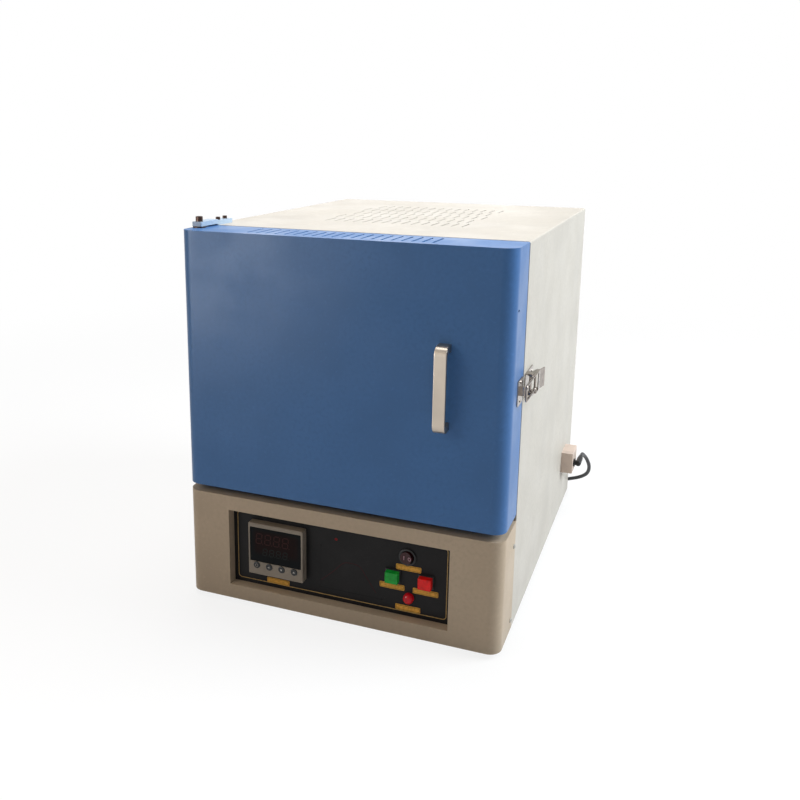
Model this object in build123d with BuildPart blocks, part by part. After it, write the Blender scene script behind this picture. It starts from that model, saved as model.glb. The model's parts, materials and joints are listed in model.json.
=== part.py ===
"""Bench-top muffle furnace, in millimetres.

The frame is +X to the right as seen from the front, +Y to the back and +Z up.
The origin is on the surface that the feet stand on, under the middle of the whole
object without its mains cord.

Most places are given as a person would measure them on the furnace: x from the
cabinet's centre line, y from the door's front face and z from the cabinet's bottom.
The functions up, front and side turn them into sketch planes, and block into a box.
"""

import os
from math import cos, pi, radians, sin, tan

from build123d import *

# Cabinet
WIDTH = 520.0
BODY_DEPTH = 586.0
SHEET = 1.5
BEND_R = 3.0
CORNER_R = 20.0
FIT = 0.3

# Control base
BASE_H = 178.0
TRAY_RIM = 25.0
TRAY_FRONT_RIM = 14.0
WELD_GAP = 0.2
DECK_RIM = 42.0
FOOT_H = 9.0
FOOT_R = 15.0
FOOT_INSET = 55.0

# Door
DOOR_DEPTH = 82.0
DOOR_GAP = 4.0
DOOR_LIFT = 12.0
DOOR_RIM = 15.0
DOOR_PLATE_T = 1.2

# Furnace chamber
CHAMBER_W = 200.0
CHAMBER_H = CHAMBER_W
CHAMBER_D = 300.0
MOUTH_D = 40.0
MOUTH_LIP = 12.0
WALL_SIDE = 110.0
WALL_ROOF = 80.0
WALL_REAR = 100.0
SHELL_T = 1.2
SHELL_LIFT = 22.3
ROOF_GAP = 40.0
FRAME_T = 2.0
FRAME_RIM = 15.0
FRAME_MOUTH = CHAMBER_W + 2 * MOUTH_LIP

# Door plug and gasket
PLUG_GAP = 2.0
PLUG_TAPER = 5.0
PLUG_REACH = 35.0
PLUG_BASE = CHAMBER_W + 50.0
PLUG_BASE_T = 55.0
GASKET_BAND = 18.0

# Handle
HANDLE_X = 165.0
HANDLE_RISE = 20.0
HANDLE_H = 126.0
HANDLE_W = 18.0
HANDLE_T = 6.0
HANDLE_REACH = 26.0
HANDLE_R = 13.0

# Window of the control base and what shows in it
WINDOW_X = -2.0
WINDOW_Z = BASE_H / 2
WINDOW_W = 367.0
WINDOW_H = BASE_H - 48.0
PANEL_Y = 17.0
PANEL_T = 2.0
PANEL_LAP = 5.0

# Cable box and mains cord
BOX_DEPTH = 55.0
BOX_TO_REAR = 72.0
BOX_PROUD = 22.5
BOX_Z = 104.5
BOX_H = 41.0
GLAND_R = 5.5
GLAND_SEAT = 4.0
CORD_D = 7.5

# Fasteners
SCREW_R = 2.0
SCREW_HEAD_R = 3.8
SCREW_HEAD_H = 2.2
SCREW_LENGTH = 7.0
SCREW_PLAY = 0.15

# Cooling fan
FAN_X = 120.0
FAN_SIZE = 119.0
FAN_DEPTH = 25.4
FAN_BORE_R = 57.0
FAN_SCREW_PITCH = 105.0
GUARD_T = 1.6

# Places that follow from the sizes
HALF = WIDTH / 2
SEAM = DOOR_DEPTH + DOOR_GAP
REAR = SEAM + BODY_DEPTH
TRAY_REAR = REAR - 2 * SHEET - FIT
DOOR_Z0 = BASE_H + DOOR_LIFT
DECK_Z = BASE_H - SHEET
BOX_Y = REAR - BOX_TO_REAR - BOX_DEPTH
FAN_Z = (TRAY_RIM + DECK_Z - SHEET) / 2
RIGHT_REACH = BOX_PROUD + GLAND_SEAT + 2 * GLAND_R
LEFT_REACH = SCREW_HEAD_H
REAR_REACH = GUARD_T + SCREW_HEAD_H
X_MID = (LEFT_REACH - RIGHT_REACH) / 2
Y_FRONT = (HANDLE_REACH - REAR - REAR_REACH) / 2
Z_BOTTOM = FOOT_H

MOUTH_Y = SEAM + FRAME_T
CHAMBER_Y0 = MOUTH_Y + MOUTH_D
CHAMBER_Y1 = CHAMBER_Y0 + CHAMBER_D
SHELL_BACK = CHAMBER_Y1 + WALL_REAR
CHAMBER_X = CHAMBER_W / 2
WALL_X = CHAMBER_X + WALL_SIDE
WALL_Z0 = DECK_Z + SHELL_LIFT + SHELL_T
CHAMBER_Z0 = WALL_Z0 + WALL_ROOF
CHAMBER_Z = CHAMBER_Z0 + CHAMBER_H / 2
CHAMBER_Z1 = CHAMBER_Z0 + CHAMBER_H
WALL_Z1 = CHAMBER_Z1 + WALL_ROOF
HEIGHT = WALL_Z1 + ROOF_GAP
HANDLE_Z = CHAMBER_Z + HANDLE_RISE
INSIDE_X = HALF - SHEET - FIT


def up(z, x=0.0, y=0.0):
    """A sketch plane at height z that faces up, with local x to the right and y to the back."""
    return Plane((X_MID + x, Y_FRONT + y, Z_BOTTOM + z), x_dir=(1, 0, 0), z_dir=(0, 0, 1))


def front(y, x=0.0, z=0.0):
    """A sketch plane at depth y that faces the front, with local x to the right and y up."""
    return Plane((X_MID + x, Y_FRONT + y, Z_BOTTOM + z), x_dir=(1, 0, 0), z_dir=(0, -1, 0))


def back(y, x=0.0, z=0.0):
    """A sketch plane at depth y that faces the back, with local x to the left and y up."""
    return Plane((X_MID + x, Y_FRONT + y, Z_BOTTOM + z), x_dir=(-1, 0, 0), z_dir=(0, 1, 0))


def side(x, y=0.0, z=0.0):
    """A sketch plane at x that faces right, with local x to the back and y up."""
    return Plane((X_MID + x, Y_FRONT + y, Z_BOTTOM + z), x_dir=(0, 1, 0), z_dir=(1, 0, 0))


def left_side(x, y=0.0, z=0.0):
    """A sketch plane at x that faces left, with local x to the front and y up."""
    return Plane((X_MID + x, Y_FRONT + y, Z_BOTTOM + z), x_dir=(0, -1, 0), z_dir=(-1, 0, 0))


def block(x, y, z, mode=Mode.ADD):
    """A box in the open part, given by its two ends along each axis."""
    middle = (X_MID + sum(x) / 2, Y_FRONT + sum(y) / 2, Z_BOTTOM + sum(z) / 2)
    with Locations(middle):
        Box(x[1] - x[0], y[1] - y[0], z[1] - z[0], mode=mode)


def rounded_shell(half_width, y0, y1, z0, z1, radius, mode=Mode.ADD):
    """A solid in the open part, with its two upright edges at the front rounded."""
    with BuildSketch(up(z0)) as plan:
        with BuildLine():
            edge = FilletPolyline(
                (-half_width, y1),
                (-half_width, y0),
                (half_width, y0),
                (half_width, y1),
                radius=radius,
            )
            Line(edge @ 1, edge @ 0)
        make_face()
    extrude(plan.sketch, amount=z1 - z0, mode=mode)


# Casing screws: pan-head screws that hold the sheet-metal parts, and the holes for them
with BuildPart(mode=Mode.PRIVATE) as pan_screw:
    with BuildSketch(Plane.XZ):
        with BuildLine():
            Line((0, -SCREW_LENGTH), (SCREW_R, -SCREW_LENGTH))
            Line((SCREW_R, -SCREW_LENGTH), (SCREW_R, 0))
            Line((SCREW_R, 0), (SCREW_HEAD_R, 0))
            Line((SCREW_HEAD_R, 0), (SCREW_HEAD_R, SCREW_HEAD_H / 3))
            ThreePointArc(
                (SCREW_HEAD_R, SCREW_HEAD_H / 3),
                (SCREW_HEAD_R * 0.62, SCREW_HEAD_H * 0.86),
                (0, SCREW_HEAD_H),
            )
            Line((0, SCREW_HEAD_H), (0, -SCREW_LENGTH))
        make_face()
    revolve(axis=Axis.Z)
    SLOT_WIDTH = 0.9
    with Locations((0, 0, SCREW_HEAD_H)):
        Box(SCREW_HEAD_R * 1.2, SLOT_WIDTH, SCREW_HEAD_H, mode=Mode.SUBTRACT)
        Box(SLOT_WIDTH, SCREW_HEAD_R * 1.2, SCREW_HEAD_H, mode=Mode.SUBTRACT)

BASE_SCREW_Y = SEAM - 11.0
BASE_SCREW_HEIGHTS = (18.0, BASE_H - 37.0)
REAR_SCREW_X = HALF - 10.0
REAR_SCREW_HEIGHTS = (60.0, 230.0, 400.0, HEIGHT - 40.0)

base_screws = [side(HALF, BASE_SCREW_Y, z) for z in BASE_SCREW_HEIGHTS]
base_screws += [left_side(-HALF, BASE_SCREW_Y, z) for z in BASE_SCREW_HEIGHTS]
rear_screws = [back(REAR, x, z) for x in (-REAR_SCREW_X, REAR_SCREW_X) for z in REAR_SCREW_HEIGHTS]
STRAP_SCREW_Y = (99.0, 121.0)
PIVOT_X = 11.0 - HALF
PIVOT_Y = 42.0
strap_screws = [up(HEIGHT, PIVOT_X, y) for y in STRAP_SCREW_Y]
guard_screws = [
    back(REAR + GUARD_T, FAN_X + dx * FAN_SCREW_PITCH / 2, FAN_Z + dz * FAN_SCREW_PITCH / 2)
    for dx in (-1, 1)
    for dz in (-1, 1)
]


def screw_holes(planes):
    """Clearance holes in the open part for pan-head screws."""
    with Locations(*planes):
        Cylinder(SCREW_R + SCREW_PLAY, 4 * SCREW_LENGTH, mode=Mode.SUBTRACT)


with BuildPart() as casing_screws:
    with Locations(*base_screws, *rear_screws, *guard_screws):
        add(pan_screw.part)

# Base tray: the bottom sheet with slots that let cooling air in, and straight edge strips welded round it
INTAKE_SLOT = (60.0, 4.0)
STRIP_X = HALF - CORNER_R
with BuildPart() as base_tray:
    rounded_shell(INSIDE_X, SHEET + FIT, TRAY_REAR, 0, SHEET, CORNER_R - SHEET - FIT)
    with BuildSketch(up(0, y=REAR / 3)):
        with GridLocations(2 * INTAKE_SLOT[0], 4 * INTAKE_SLOT[1], 2, 8):
            Rectangle(*INTAKE_SLOT)
    extrude(amount=SHEET, mode=Mode.SUBTRACT)
    for outer in (-INSIDE_X, INSIDE_X - SHEET):
        block(
            (outer, outer + SHEET), (CORNER_R, TRAY_REAR - SHEET - WELD_GAP), (SHEET + WELD_GAP, TRAY_RIM)
        )
    block((-STRIP_X, STRIP_X), (TRAY_REAR - SHEET, TRAY_REAR), (SHEET + WELD_GAP, TRAY_RIM))
    block(
        (-STRIP_X, STRIP_X), (SHEET + FIT, 2 * SHEET + FIT), (SHEET + WELD_GAP, TRAY_FRONT_RIM)
    )
    screw_holes(base_screws[:1] + base_screws[2:3])

# Feet: four rubber feet with a recess for their screw
FOOT_TAPER = 2.0
FOOT_RECESS = (6.0, 4.0)
foot_places = [(x, y) for x in (-HALF + FOOT_INSET, HALF - FOOT_INSET) for y in (FOOT_INSET, REAR - FOOT_INSET)]
with BuildPart() as feet:
    for x, y in foot_places:
        with Locations(up(-FOOT_H / 2, x, y)):
            Cone(FOOT_R - FOOT_TAPER, FOOT_R, FOOT_H)
        with Locations(up(-FOOT_H + FOOT_RECESS[1] / 2, x, y)):
            Cylinder(*FOOT_RECESS, mode=Mode.SUBTRACT)

# Base deck: the sheet over the electronics bay, with down-turned rims and air slots
AIR_SLOT = (5.0, 60.0)
AIR_SLOT_X = HALF - 30.0
with BuildPart() as base_deck:
    rounded_shell(
        INSIDE_X, SHEET + FIT, TRAY_REAR, DECK_Z - DECK_RIM, DECK_Z, CORNER_R - SHEET - FIT
    )
    block(
        (-INSIDE_X + SHEET, INSIDE_X - SHEET),
        (-1, REAR + 1),
        (DECK_Z - DECK_RIM - 1, DECK_Z - SHEET),
        mode=Mode.SUBTRACT,
    )
    block(
        (-HALF, HALF), (-1, CORNER_R), (DECK_Z - DECK_RIM - 1, DECK_Z - SHEET), mode=Mode.SUBTRACT
    )
    with BuildSketch(up(DECK_Z - SHEET, y=(SEAM + REAR) / 2)):
        with Locations((-AIR_SLOT_X, 0), (AIR_SLOT_X, 0)):
            with GridLocations(3 * AIR_SLOT[0], AIR_SLOT[1] * 1.5, 2, 5):
                Rectangle(*AIR_SLOT)
    extrude(amount=SHEET, mode=Mode.SUBTRACT)
    screw_holes(base_screws[1:2] + base_screws[3:4])

# Lower front panel: rounded upright edges, and a window with its rim turned inwards
WINDOW_X0 = WINDOW_X - WINDOW_W / 2
WINDOW_X1 = WINDOW_X + WINDOW_W / 2
WINDOW_Z0 = WINDOW_Z - WINDOW_H / 2
WINDOW_Z1 = WINDOW_Z + WINDOW_H / 2
with BuildPart() as lower_front_panel:
    rounded_shell(HALF, 0, SEAM, 0, BASE_H, CORNER_R)
    rounded_shell(
        HALF - SHEET, SHEET, SEAM + 1, -1, BASE_H - SHEET, CORNER_R - SHEET, mode=Mode.SUBTRACT
    )
    block(
        (WINDOW_X0 - SHEET, WINDOW_X1 + SHEET),
        (0, PANEL_Y),
        (WINDOW_Z0 - SHEET, WINDOW_Z1 + SHEET),
    )
    block((WINDOW_X0, WINDOW_X1), (-1, PANEL_Y + 1), (WINDOW_Z0, WINDOW_Z1), mode=Mode.SUBTRACT)
    screw_holes(base_screws)

# Outer cover: an inverted U with a rear flange, and five staggered rows of vent slots
COVER_FLANGE = 16.0
TOP_SLOT = (3.0, 48.0)
TOP_SLOT_PITCH = 17.0
TOP_SLOT_COUNT = 15
TOP_ROWS = 5
TOP_ROW_PITCH = 66.0
TOP_ROW_FIRST_Y = 250.0
CABLE_HOLE_R = 8.0
with BuildPart() as outer_cover:
    with BuildSketch(back(SEAM)) as cover_outline:
        with Locations((0, HEIGHT / 2)):
            Rectangle(WIDTH, HEIGHT)
        fillet(cover_outline.vertices().group_by(Axis.Y)[-1], BEND_R)
    extrude(amount=BODY_DEPTH)
    with BuildSketch(back(SEAM)) as cover_inside:
        with Locations((0, (HEIGHT - SHEET) / 2)):
            Rectangle(WIDTH - 2 * SHEET, HEIGHT - SHEET)
        fillet(cover_inside.vertices().group_by(Axis.Y)[-1], BEND_R - SHEET)
    extrude(amount=BODY_DEPTH, mode=Mode.SUBTRACT)
    block((-HALF + SHEET, HALF - SHEET), (REAR - 2 * SHEET, REAR - SHEET), (TRAY_RIM + 1, HEIGHT - SHEET))
    block(
        (-HALF + COVER_FLANGE, HALF - COVER_FLANGE),
        (REAR - 3 * SHEET, REAR),
        (TRAY_RIM, HEIGHT - COVER_FLANGE),
        mode=Mode.SUBTRACT,
    )
    with BuildSketch(up(HEIGHT - SHEET)):
        for row in range(TOP_ROWS):
            shift = TOP_SLOT_PITCH / 4 * (-1) ** row
            with Locations((shift, TOP_ROW_FIRST_Y + row * TOP_ROW_PITCH)):
                with GridLocations(TOP_SLOT_PITCH, 1, TOP_SLOT_COUNT, 1):
                    Rectangle(*TOP_SLOT)
    extrude(amount=SHEET, mode=Mode.SUBTRACT)
    with Locations(side(HALF, BOX_Y + BOX_DEPTH / 2, BOX_Z)):
        Cylinder(CABLE_HOLE_R, 4 * SHEET, mode=Mode.SUBTRACT)
    screw_holes(rear_screws + strap_screws)

# Rear panel: vent slots high up, the fan's opening low down
REAR_SLOT = (4.0, 50.0)
REAR_SLOT_PITCH = 20.0
REAR_SLOT_COUNT = 12
REAR_SLOT_Z = HEIGHT - 80.0
with BuildPart() as rear_panel:
    block((-INSIDE_X, INSIDE_X), (REAR - SHEET, REAR), (0, HEIGHT - SHEET - FIT))
    fillet(rear_panel.edges().filter_by(Axis.Y).group_by(Axis.Z)[-1], BEND_R)
    with BuildSketch(back(REAR)):
        with Locations((0, REAR_SLOT_Z)):
            with GridLocations(REAR_SLOT_PITCH, 1, REAR_SLOT_COUNT, 1):
                Rectangle(*REAR_SLOT)
        with Locations((-FAN_X, FAN_Z)):
            Circle(FAN_BORE_R)
    extrude(amount=-SHEET, mode=Mode.SUBTRACT)
    screw_holes(rear_screws + guard_screws)

# Front frame: the pan behind the door, with the chamber's mouth
FRAME_TOP = HEIGHT - SHEET - FIT
with BuildPart() as front_frame:
    block((-INSIDE_X, INSIDE_X), (SEAM, SEAM + FRAME_RIM), (DECK_Z, FRAME_TOP))
    fillet(front_frame.edges().filter_by(Axis.Y).group_by(Axis.Z)[-1], BEND_R)
    block(
        (-INSIDE_X + FRAME_T, INSIDE_X - FRAME_T),
        (SEAM + FRAME_T, SEAM + FRAME_RIM + 1),
        (DECK_Z + FRAME_T, FRAME_TOP - FRAME_T),
        mode=Mode.SUBTRACT,
    )
    block(
        (-FRAME_MOUTH / 2, FRAME_MOUTH / 2),
        (SEAM - 1, MOUTH_Y + 1),
        (CHAMBER_Z - FRAME_MOUTH / 2, CHAMBER_Z + FRAME_MOUTH / 2),
        mode=Mode.SUBTRACT,
    )
    screw_holes(strap_screws)

# Inner shell: the steel casing round the insulation, with holes for leads at its back
ELEMENT_R = 3.5
ELEMENT_PLAY = 0.4
GROOVE_DEPTH = 8.5
ROWS = 6
ROW_PITCH = 0.14 * CHAMBER_H
ELEMENT_X = CHAMBER_X + GROOVE_DEPTH - ELEMENT_R - ELEMENT_PLAY
row_heights = [CHAMBER_Z + ((ROWS - 1) / 2 - k) * ROW_PITCH for k in range(ROWS)]
lead_places = [(x, z) for x in (-ELEMENT_X, ELEMENT_X) for z in (row_heights[0], row_heights[-1])]
PROBE_R = 4.0
PROBE_PLAY = 0.3
PROBE_Z = CHAMBER_Z + 0.35 * CHAMBER_H
PROBE_REACH = 30.0
with BuildPart() as inner_shell:
    block(
        (-WALL_X - SHELL_T, WALL_X + SHELL_T),
        (MOUTH_Y, SHELL_BACK + SHELL_T),
        (WALL_Z0 - SHELL_T, WALL_Z1 + SHELL_T),
    )
    block((-WALL_X, WALL_X), (MOUTH_Y - 1, SHELL_BACK), (WALL_Z0, WALL_Z1), mode=Mode.SUBTRACT)
    with BuildSketch(front(SHELL_BACK)):
        with Locations(*lead_places):
            Circle(ELEMENT_R + ELEMENT_PLAY)
        with Locations((0, PROBE_Z)):
            Circle(PROBE_R + PROBE_PLAY)
    extrude(amount=-SHELL_T, mode=Mode.SUBTRACT)

# Shell rails: two hat-section rails that lift the inner shell off the deck
RAIL_X = 130.0
RAIL_W = 36.0
RAIL_Z1 = WALL_Z0 - SHELL_T
with BuildPart() as shell_rails:
    for x in (-RAIL_X, RAIL_X):
        block((x - RAIL_W / 2, x + RAIL_W / 2), (SEAM + 2 * FRAME_RIM, SHELL_BACK), (DECK_Z, RAIL_Z1))
        block(
            (x - RAIL_W / 2 + SHEET, x + RAIL_W / 2 - SHEET),
            (SEAM, SHELL_BACK + 1),
            (DECK_Z - 1, RAIL_Z1 - SHEET),
            mode=Mode.SUBTRACT,
        )

# Insulation: fibre boards round the chamber; the side boards are grooved for the elements
with BuildPart() as insulation_floor:
    block((-WALL_X, WALL_X), (MOUTH_Y, SHELL_BACK), (WALL_Z0, CHAMBER_Z0))

with BuildPart() as insulation_roof:
    block((-WALL_X, WALL_X), (MOUTH_Y, SHELL_BACK), (CHAMBER_Z1, WALL_Z1))

with BuildPart() as insulation_rear:
    block((-CHAMBER_X, CHAMBER_X), (CHAMBER_Y1, SHELL_BACK), (CHAMBER_Z0, CHAMBER_Z1))
    with BuildSketch(front(CHAMBER_Y1)):
        with Locations((0, PROBE_Z)):
            Circle(PROBE_R + PROBE_PLAY)
    extrude(amount=-WALL_REAR, mode=Mode.SUBTRACT)

BEND_MARGIN = 12.0
BEND_Y0 = CHAMBER_Y0 + BEND_MARGIN + ROW_PITCH / 2
BEND_Y1 = CHAMBER_Y1 - BEND_MARGIN - ROW_PITCH / 2
GROOVE_HALF = ELEMENT_R + ELEMENT_PLAY


def side_board(sign):
    """The insulation board on one side, with grooves for a heating element."""
    inner = sign * CHAMBER_X
    bottom = sign * (CHAMBER_X + GROOVE_DEPTH)
    groove_x = (min(inner, bottom), max(inner, bottom))
    outer = sign * WALL_X
    with BuildPart() as board:
        block(
            (min(inner, outer), max(inner, outer)), (MOUTH_Y, SHELL_BACK), (CHAMBER_Z0, CHAMBER_Z1)
        )
        for k, z in enumerate(row_heights):
            lead = k in (0, ROWS - 1)
            ends = (BEND_Y0, SHELL_BACK) if lead else (BEND_Y0, BEND_Y1)
            block(groove_x, ends, (z - GROOVE_HALF, z + GROOVE_HALF), mode=Mode.SUBTRACT)
        reach = ROW_PITCH / 2 + GROOVE_HALF
        for k in range(ROWS - 1):
            z = (row_heights[k] + row_heights[k + 1]) / 2
            ends = (BEND_Y0 - reach, BEND_Y0) if k % 2 == 0 else (BEND_Y1, BEND_Y1 + reach)
            block(groove_x, ends, (z - reach, z + reach), mode=Mode.SUBTRACT)
    return board


insulation_left = side_board(-1)
insulation_right = side_board(1)

# Hearth plate: the ceramic plate that carries the load
HEARTH = (CHAMBER_W - 10.0, CHAMBER_D - 10.0, 10.0)
HEARTH_TOP = CHAMBER_Z0 + HEARTH[2]
with BuildPart() as hearth_plate:
    block(
        (-HEARTH[0] / 2, HEARTH[0] / 2),
        (CHAMBER_Y1 - HEARTH[1] - FIT, CHAMBER_Y1 - FIT),
        (CHAMBER_Z0, HEARTH_TOP),
    )
    fillet(hearth_plate.edges().filter_by(Axis.Z), 4.0)

# Heating elements: one serpentine on each side, with both tails out at the back
TAIL_END = SHELL_BACK + 48.0


def element(sign):
    """The heating element in one side board."""
    radius = ROW_PITCH / 2
    with BuildPart() as heater:
        with BuildLine(side(sign * ELEMENT_X)) as path:
            start = (TAIL_END, row_heights[0])
            for k in range(ROWS - 1):
                to_front = k % 2 == 0
                turn_y = BEND_Y0 if to_front else BEND_Y1
                peak_y = turn_y - radius if to_front else turn_y + radius
                Line(start, (turn_y, row_heights[k]))
                start = (turn_y, row_heights[k + 1])
                ThreePointArc(
                    (turn_y, row_heights[k]), (peak_y, row_heights[k] - radius), start
                )
            Line(start, (TAIL_END, row_heights[-1]))
        with BuildSketch(Plane(path.wires()[0] @ 0, z_dir=path.wires()[0] % 0)):
            Circle(ELEMENT_R)
        sweep(path=path.wires()[0])
    return heater


heating_element_left = element(-1)
heating_element_right = element(1)

# Element insulators: ceramic sleeves on the tails, against the shell's back
SLEEVE_R = 8.0
SLEEVE_L = 26.0
SLEEVE_Y = SHELL_BACK + SHELL_T
with BuildPart() as element_insulators:
    with BuildSketch(back(SLEEVE_Y)):
        with Locations(*[(-x, z) for x, z in lead_places]):
            Circle(SLEEVE_R)
            Circle(ELEMENT_R + ELEMENT_PLAY, mode=Mode.SUBTRACT)
    extrude(amount=SLEEVE_L)

# Thermocouple: a ceramic sheath into the chamber, held by a head on the shell's back
HEAD_FLANGE_R = 18.0
HEAD_FLANGE_T = 4.0
HEAD_NECK_R = 8.0
HEAD_NECK_L = 10.0
HEAD_R = 15.0
HEAD_L = 26.0
with BuildPart() as thermocouple:
    with BuildSketch(back(CHAMBER_Y1 - PROBE_REACH, z=PROBE_Z)):
        Circle(PROBE_R)
    extrude(amount=PROBE_REACH + WALL_REAR + SHELL_T + HEAD_FLANGE_T + HEAD_NECK_L)
    fillet(thermocouple.faces().sort_by(Axis.Y)[0].edges(), PROBE_R * 0.7)

with BuildPart() as thermocouple_head:
    with BuildSketch(back(SLEEVE_Y, z=PROBE_Z)):
        Circle(HEAD_FLANGE_R)
    extrude(amount=HEAD_FLANGE_T)
    with BuildSketch(back(SLEEVE_Y + HEAD_FLANGE_T, z=PROBE_Z)):
        Circle(HEAD_NECK_R)
    extrude(amount=HEAD_NECK_L)
    with BuildSketch(back(SLEEVE_Y + HEAD_FLANGE_T + HEAD_NECK_L, z=PROBE_Z)):
        Circle(HEAD_R)
    extrude(amount=HEAD_L)
    fillet(thermocouple_head.faces().sort_by(Axis.Y)[-1].edges(), 3.0)
    with BuildSketch(back(SLEEVE_Y, z=PROBE_Z)):
        Circle(PROBE_R + PROBE_PLAY)
    extrude(amount=HEAD_FLANGE_T + HEAD_NECK_L, mode=Mode.SUBTRACT)

# Control panel: the black plate behind the window's rim
CONTROLLER_X = -104.5
CONTROLLER_Z = WINDOW_Z + 4.5
CASE_W = 90.0
CASE_H = 82.0
CASE_D = 80.0
ROCKER_X = 112.0
ROCKER_Z = WINDOW_Z + 33.0
ROCKER_BODY_R = 12.2
BUTTON_Z = WINDOW_Z - 1.5
START_X = 89.5
STOP_X = 142.0
BUTTON_BODY = (23.0, 20.4)
LAMP_X = 115.3
LAMP_Z = WINDOW_Z - 33.7
LAMP_BODY_R = 6.0
with BuildPart() as control_panel:
    block(
        (WINDOW_X0 - PANEL_LAP, WINDOW_X1 + PANEL_LAP),
        (PANEL_Y, PANEL_Y + PANEL_T),
        (WINDOW_Z0 - PANEL_LAP, WINDOW_Z1 + PANEL_LAP),
    )
    with BuildSketch(front(PANEL_Y)):
        with Locations((CONTROLLER_X, CONTROLLER_Z)):
            Rectangle(CASE_W + 2 * FIT, CASE_H + 2 * FIT)
        with Locations((ROCKER_X, ROCKER_Z)):
            Circle(ROCKER_BODY_R + FIT)
        with Locations((START_X, BUTTON_Z), (STOP_X, BUTTON_Z)):
            Rectangle(BUTTON_BODY[0] + 2 * FIT, BUTTON_BODY[1] + 2 * FIT)
        with Locations((LAMP_X, LAMP_Z)):
            Circle(LAMP_BODY_R + FIT)
    extrude(amount=-PANEL_T, mode=Mode.SUBTRACT)

# Controller: a square panel instrument with a display window and four round keys
BEZEL_W = 96.0
BEZEL_H = 88.0
BEZEL_PROUD = 14.0
BEZEL_FRONT = PANEL_Y - BEZEL_PROUD
BEZEL_EDGE = 2.0
DISPLAY_W = 89.6
DISPLAY_H = 58.6
DISPLAY_Z = CONTROLLER_Z + 8.0
DISPLAY_T = 1.8
DISPLAY_SINK = 0.6
KEY_R = 5.6
KEY_PLAY = 0.2
KEY_PROUD = 1.4
KEY_L = 5.5
KEY_TRAVEL = 0.8
KEY_Z = CONTROLLER_Z - 27.5
KEY_PITCH = 22.0
KEY_COUNT = 4
key_places = [(CONTROLLER_X + (k - (KEY_COUNT - 1) / 2) * KEY_PITCH, KEY_Z) for k in range(KEY_COUNT)]
with BuildPart() as controller_housing:
    block(
        (CONTROLLER_X - BEZEL_W / 2, CONTROLLER_X + BEZEL_W / 2),
        (BEZEL_FRONT, PANEL_Y),
        (CONTROLLER_Z - BEZEL_H / 2, CONTROLLER_Z + BEZEL_H / 2),
    )
    fillet(controller_housing.edges().filter_by(Axis.Y), BEZEL_EDGE)
    chamfer(controller_housing.faces().sort_by(Axis.Y)[0].edges(), BEZEL_EDGE / 2)
    block(
        (CONTROLLER_X - CASE_W / 2, CONTROLLER_X + CASE_W / 2),
        (PANEL_Y, PANEL_Y + CASE_D),
        (CONTROLLER_Z - CASE_H / 2, CONTROLLER_Z + CASE_H / 2),
    )
    with BuildSketch(front(BEZEL_FRONT)):
        with Locations((CONTROLLER_X, DISPLAY_Z)):
            RectangleRounded(DISPLAY_W + 2 * FIT, DISPLAY_H + 2 * FIT, 1.5)
    extrude(amount=-(DISPLAY_T + DISPLAY_SINK), mode=Mode.SUBTRACT)
    with BuildSketch(front(BEZEL_FRONT)):
        with Locations(*key_places):
            Circle(KEY_R + KEY_PLAY)
    extrude(amount=-(KEY_L - KEY_PROUD + 2 * KEY_TRAVEL), mode=Mode.SUBTRACT)

with BuildPart() as controller_window:
    with BuildSketch(front(BEZEL_FRONT + DISPLAY_SINK)):
        with Locations((CONTROLLER_X, DISPLAY_Z)):
            RectangleRounded(DISPLAY_W, DISPLAY_H, 1.2)
    extrude(amount=-DISPLAY_T)


def controller_key(place):
    """A round key with a softly domed face."""
    with BuildPart() as key:
        with BuildSketch(front(BEZEL_FRONT - KEY_PROUD, *place)):
            Circle(KEY_R)
        extrude(amount=-KEY_L)
        fillet(key.faces().sort_by(Axis.Y)[0].edges(), KEY_PROUD * 0.7)
    return key


controller_keys = [controller_key(place) for place in key_places]

# Power switch: a round rocker that tilts about an upright axis, in its housing
ROCKER_RING_R = 13.6
ROCKER_RING_T = 2.5
ROCKER_BODY_L = 18.0
ROCKER_R = 9.6
ROCKER_PLAY = 1.2
ROCKER_RISE = 9.5
ROCKER_DISH = 1.4
ROCKER_FOOT = 3.0
ROCKER_TILT = 8.0
ROCKER_PIN_R = 1.5
ROCKER_PIN_PLAY = 0.05
ROCKER_PIN_L = 1.2
ROCKER_AXIS_Y = PANEL_Y + 3.0
rocker_axis = Axis((X_MID + ROCKER_X, Y_FRONT + ROCKER_AXIS_Y, Z_BOTTOM + ROCKER_Z), (0, 0, 1))
with BuildPart() as rocker_housing:
    with BuildSketch(front(PANEL_Y, ROCKER_X, ROCKER_Z)):
        Circle(ROCKER_RING_R)
    extrude(amount=ROCKER_RING_T)
    fillet(rocker_housing.faces().sort_by(Axis.Y)[0].edges(), 0.8)
    with BuildSketch(front(PANEL_Y, ROCKER_X, ROCKER_Z)):
        Circle(ROCKER_BODY_R)
    extrude(amount=-ROCKER_BODY_L)
    with BuildSketch(front(PANEL_Y - ROCKER_RING_T, ROCKER_X, ROCKER_Z)):
        Circle(ROCKER_R + ROCKER_PLAY)
    extrude(amount=-(ROCKER_RING_T + 9.0), mode=Mode.SUBTRACT)
    with Locations(up(ROCKER_Z, ROCKER_X, ROCKER_AXIS_Y)):
        Cylinder(
            ROCKER_PIN_R + ROCKER_PIN_PLAY,
            2 * (ROCKER_R + ROCKER_PLAY + ROCKER_PIN_L),
            mode=Mode.SUBTRACT,
        )

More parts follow.
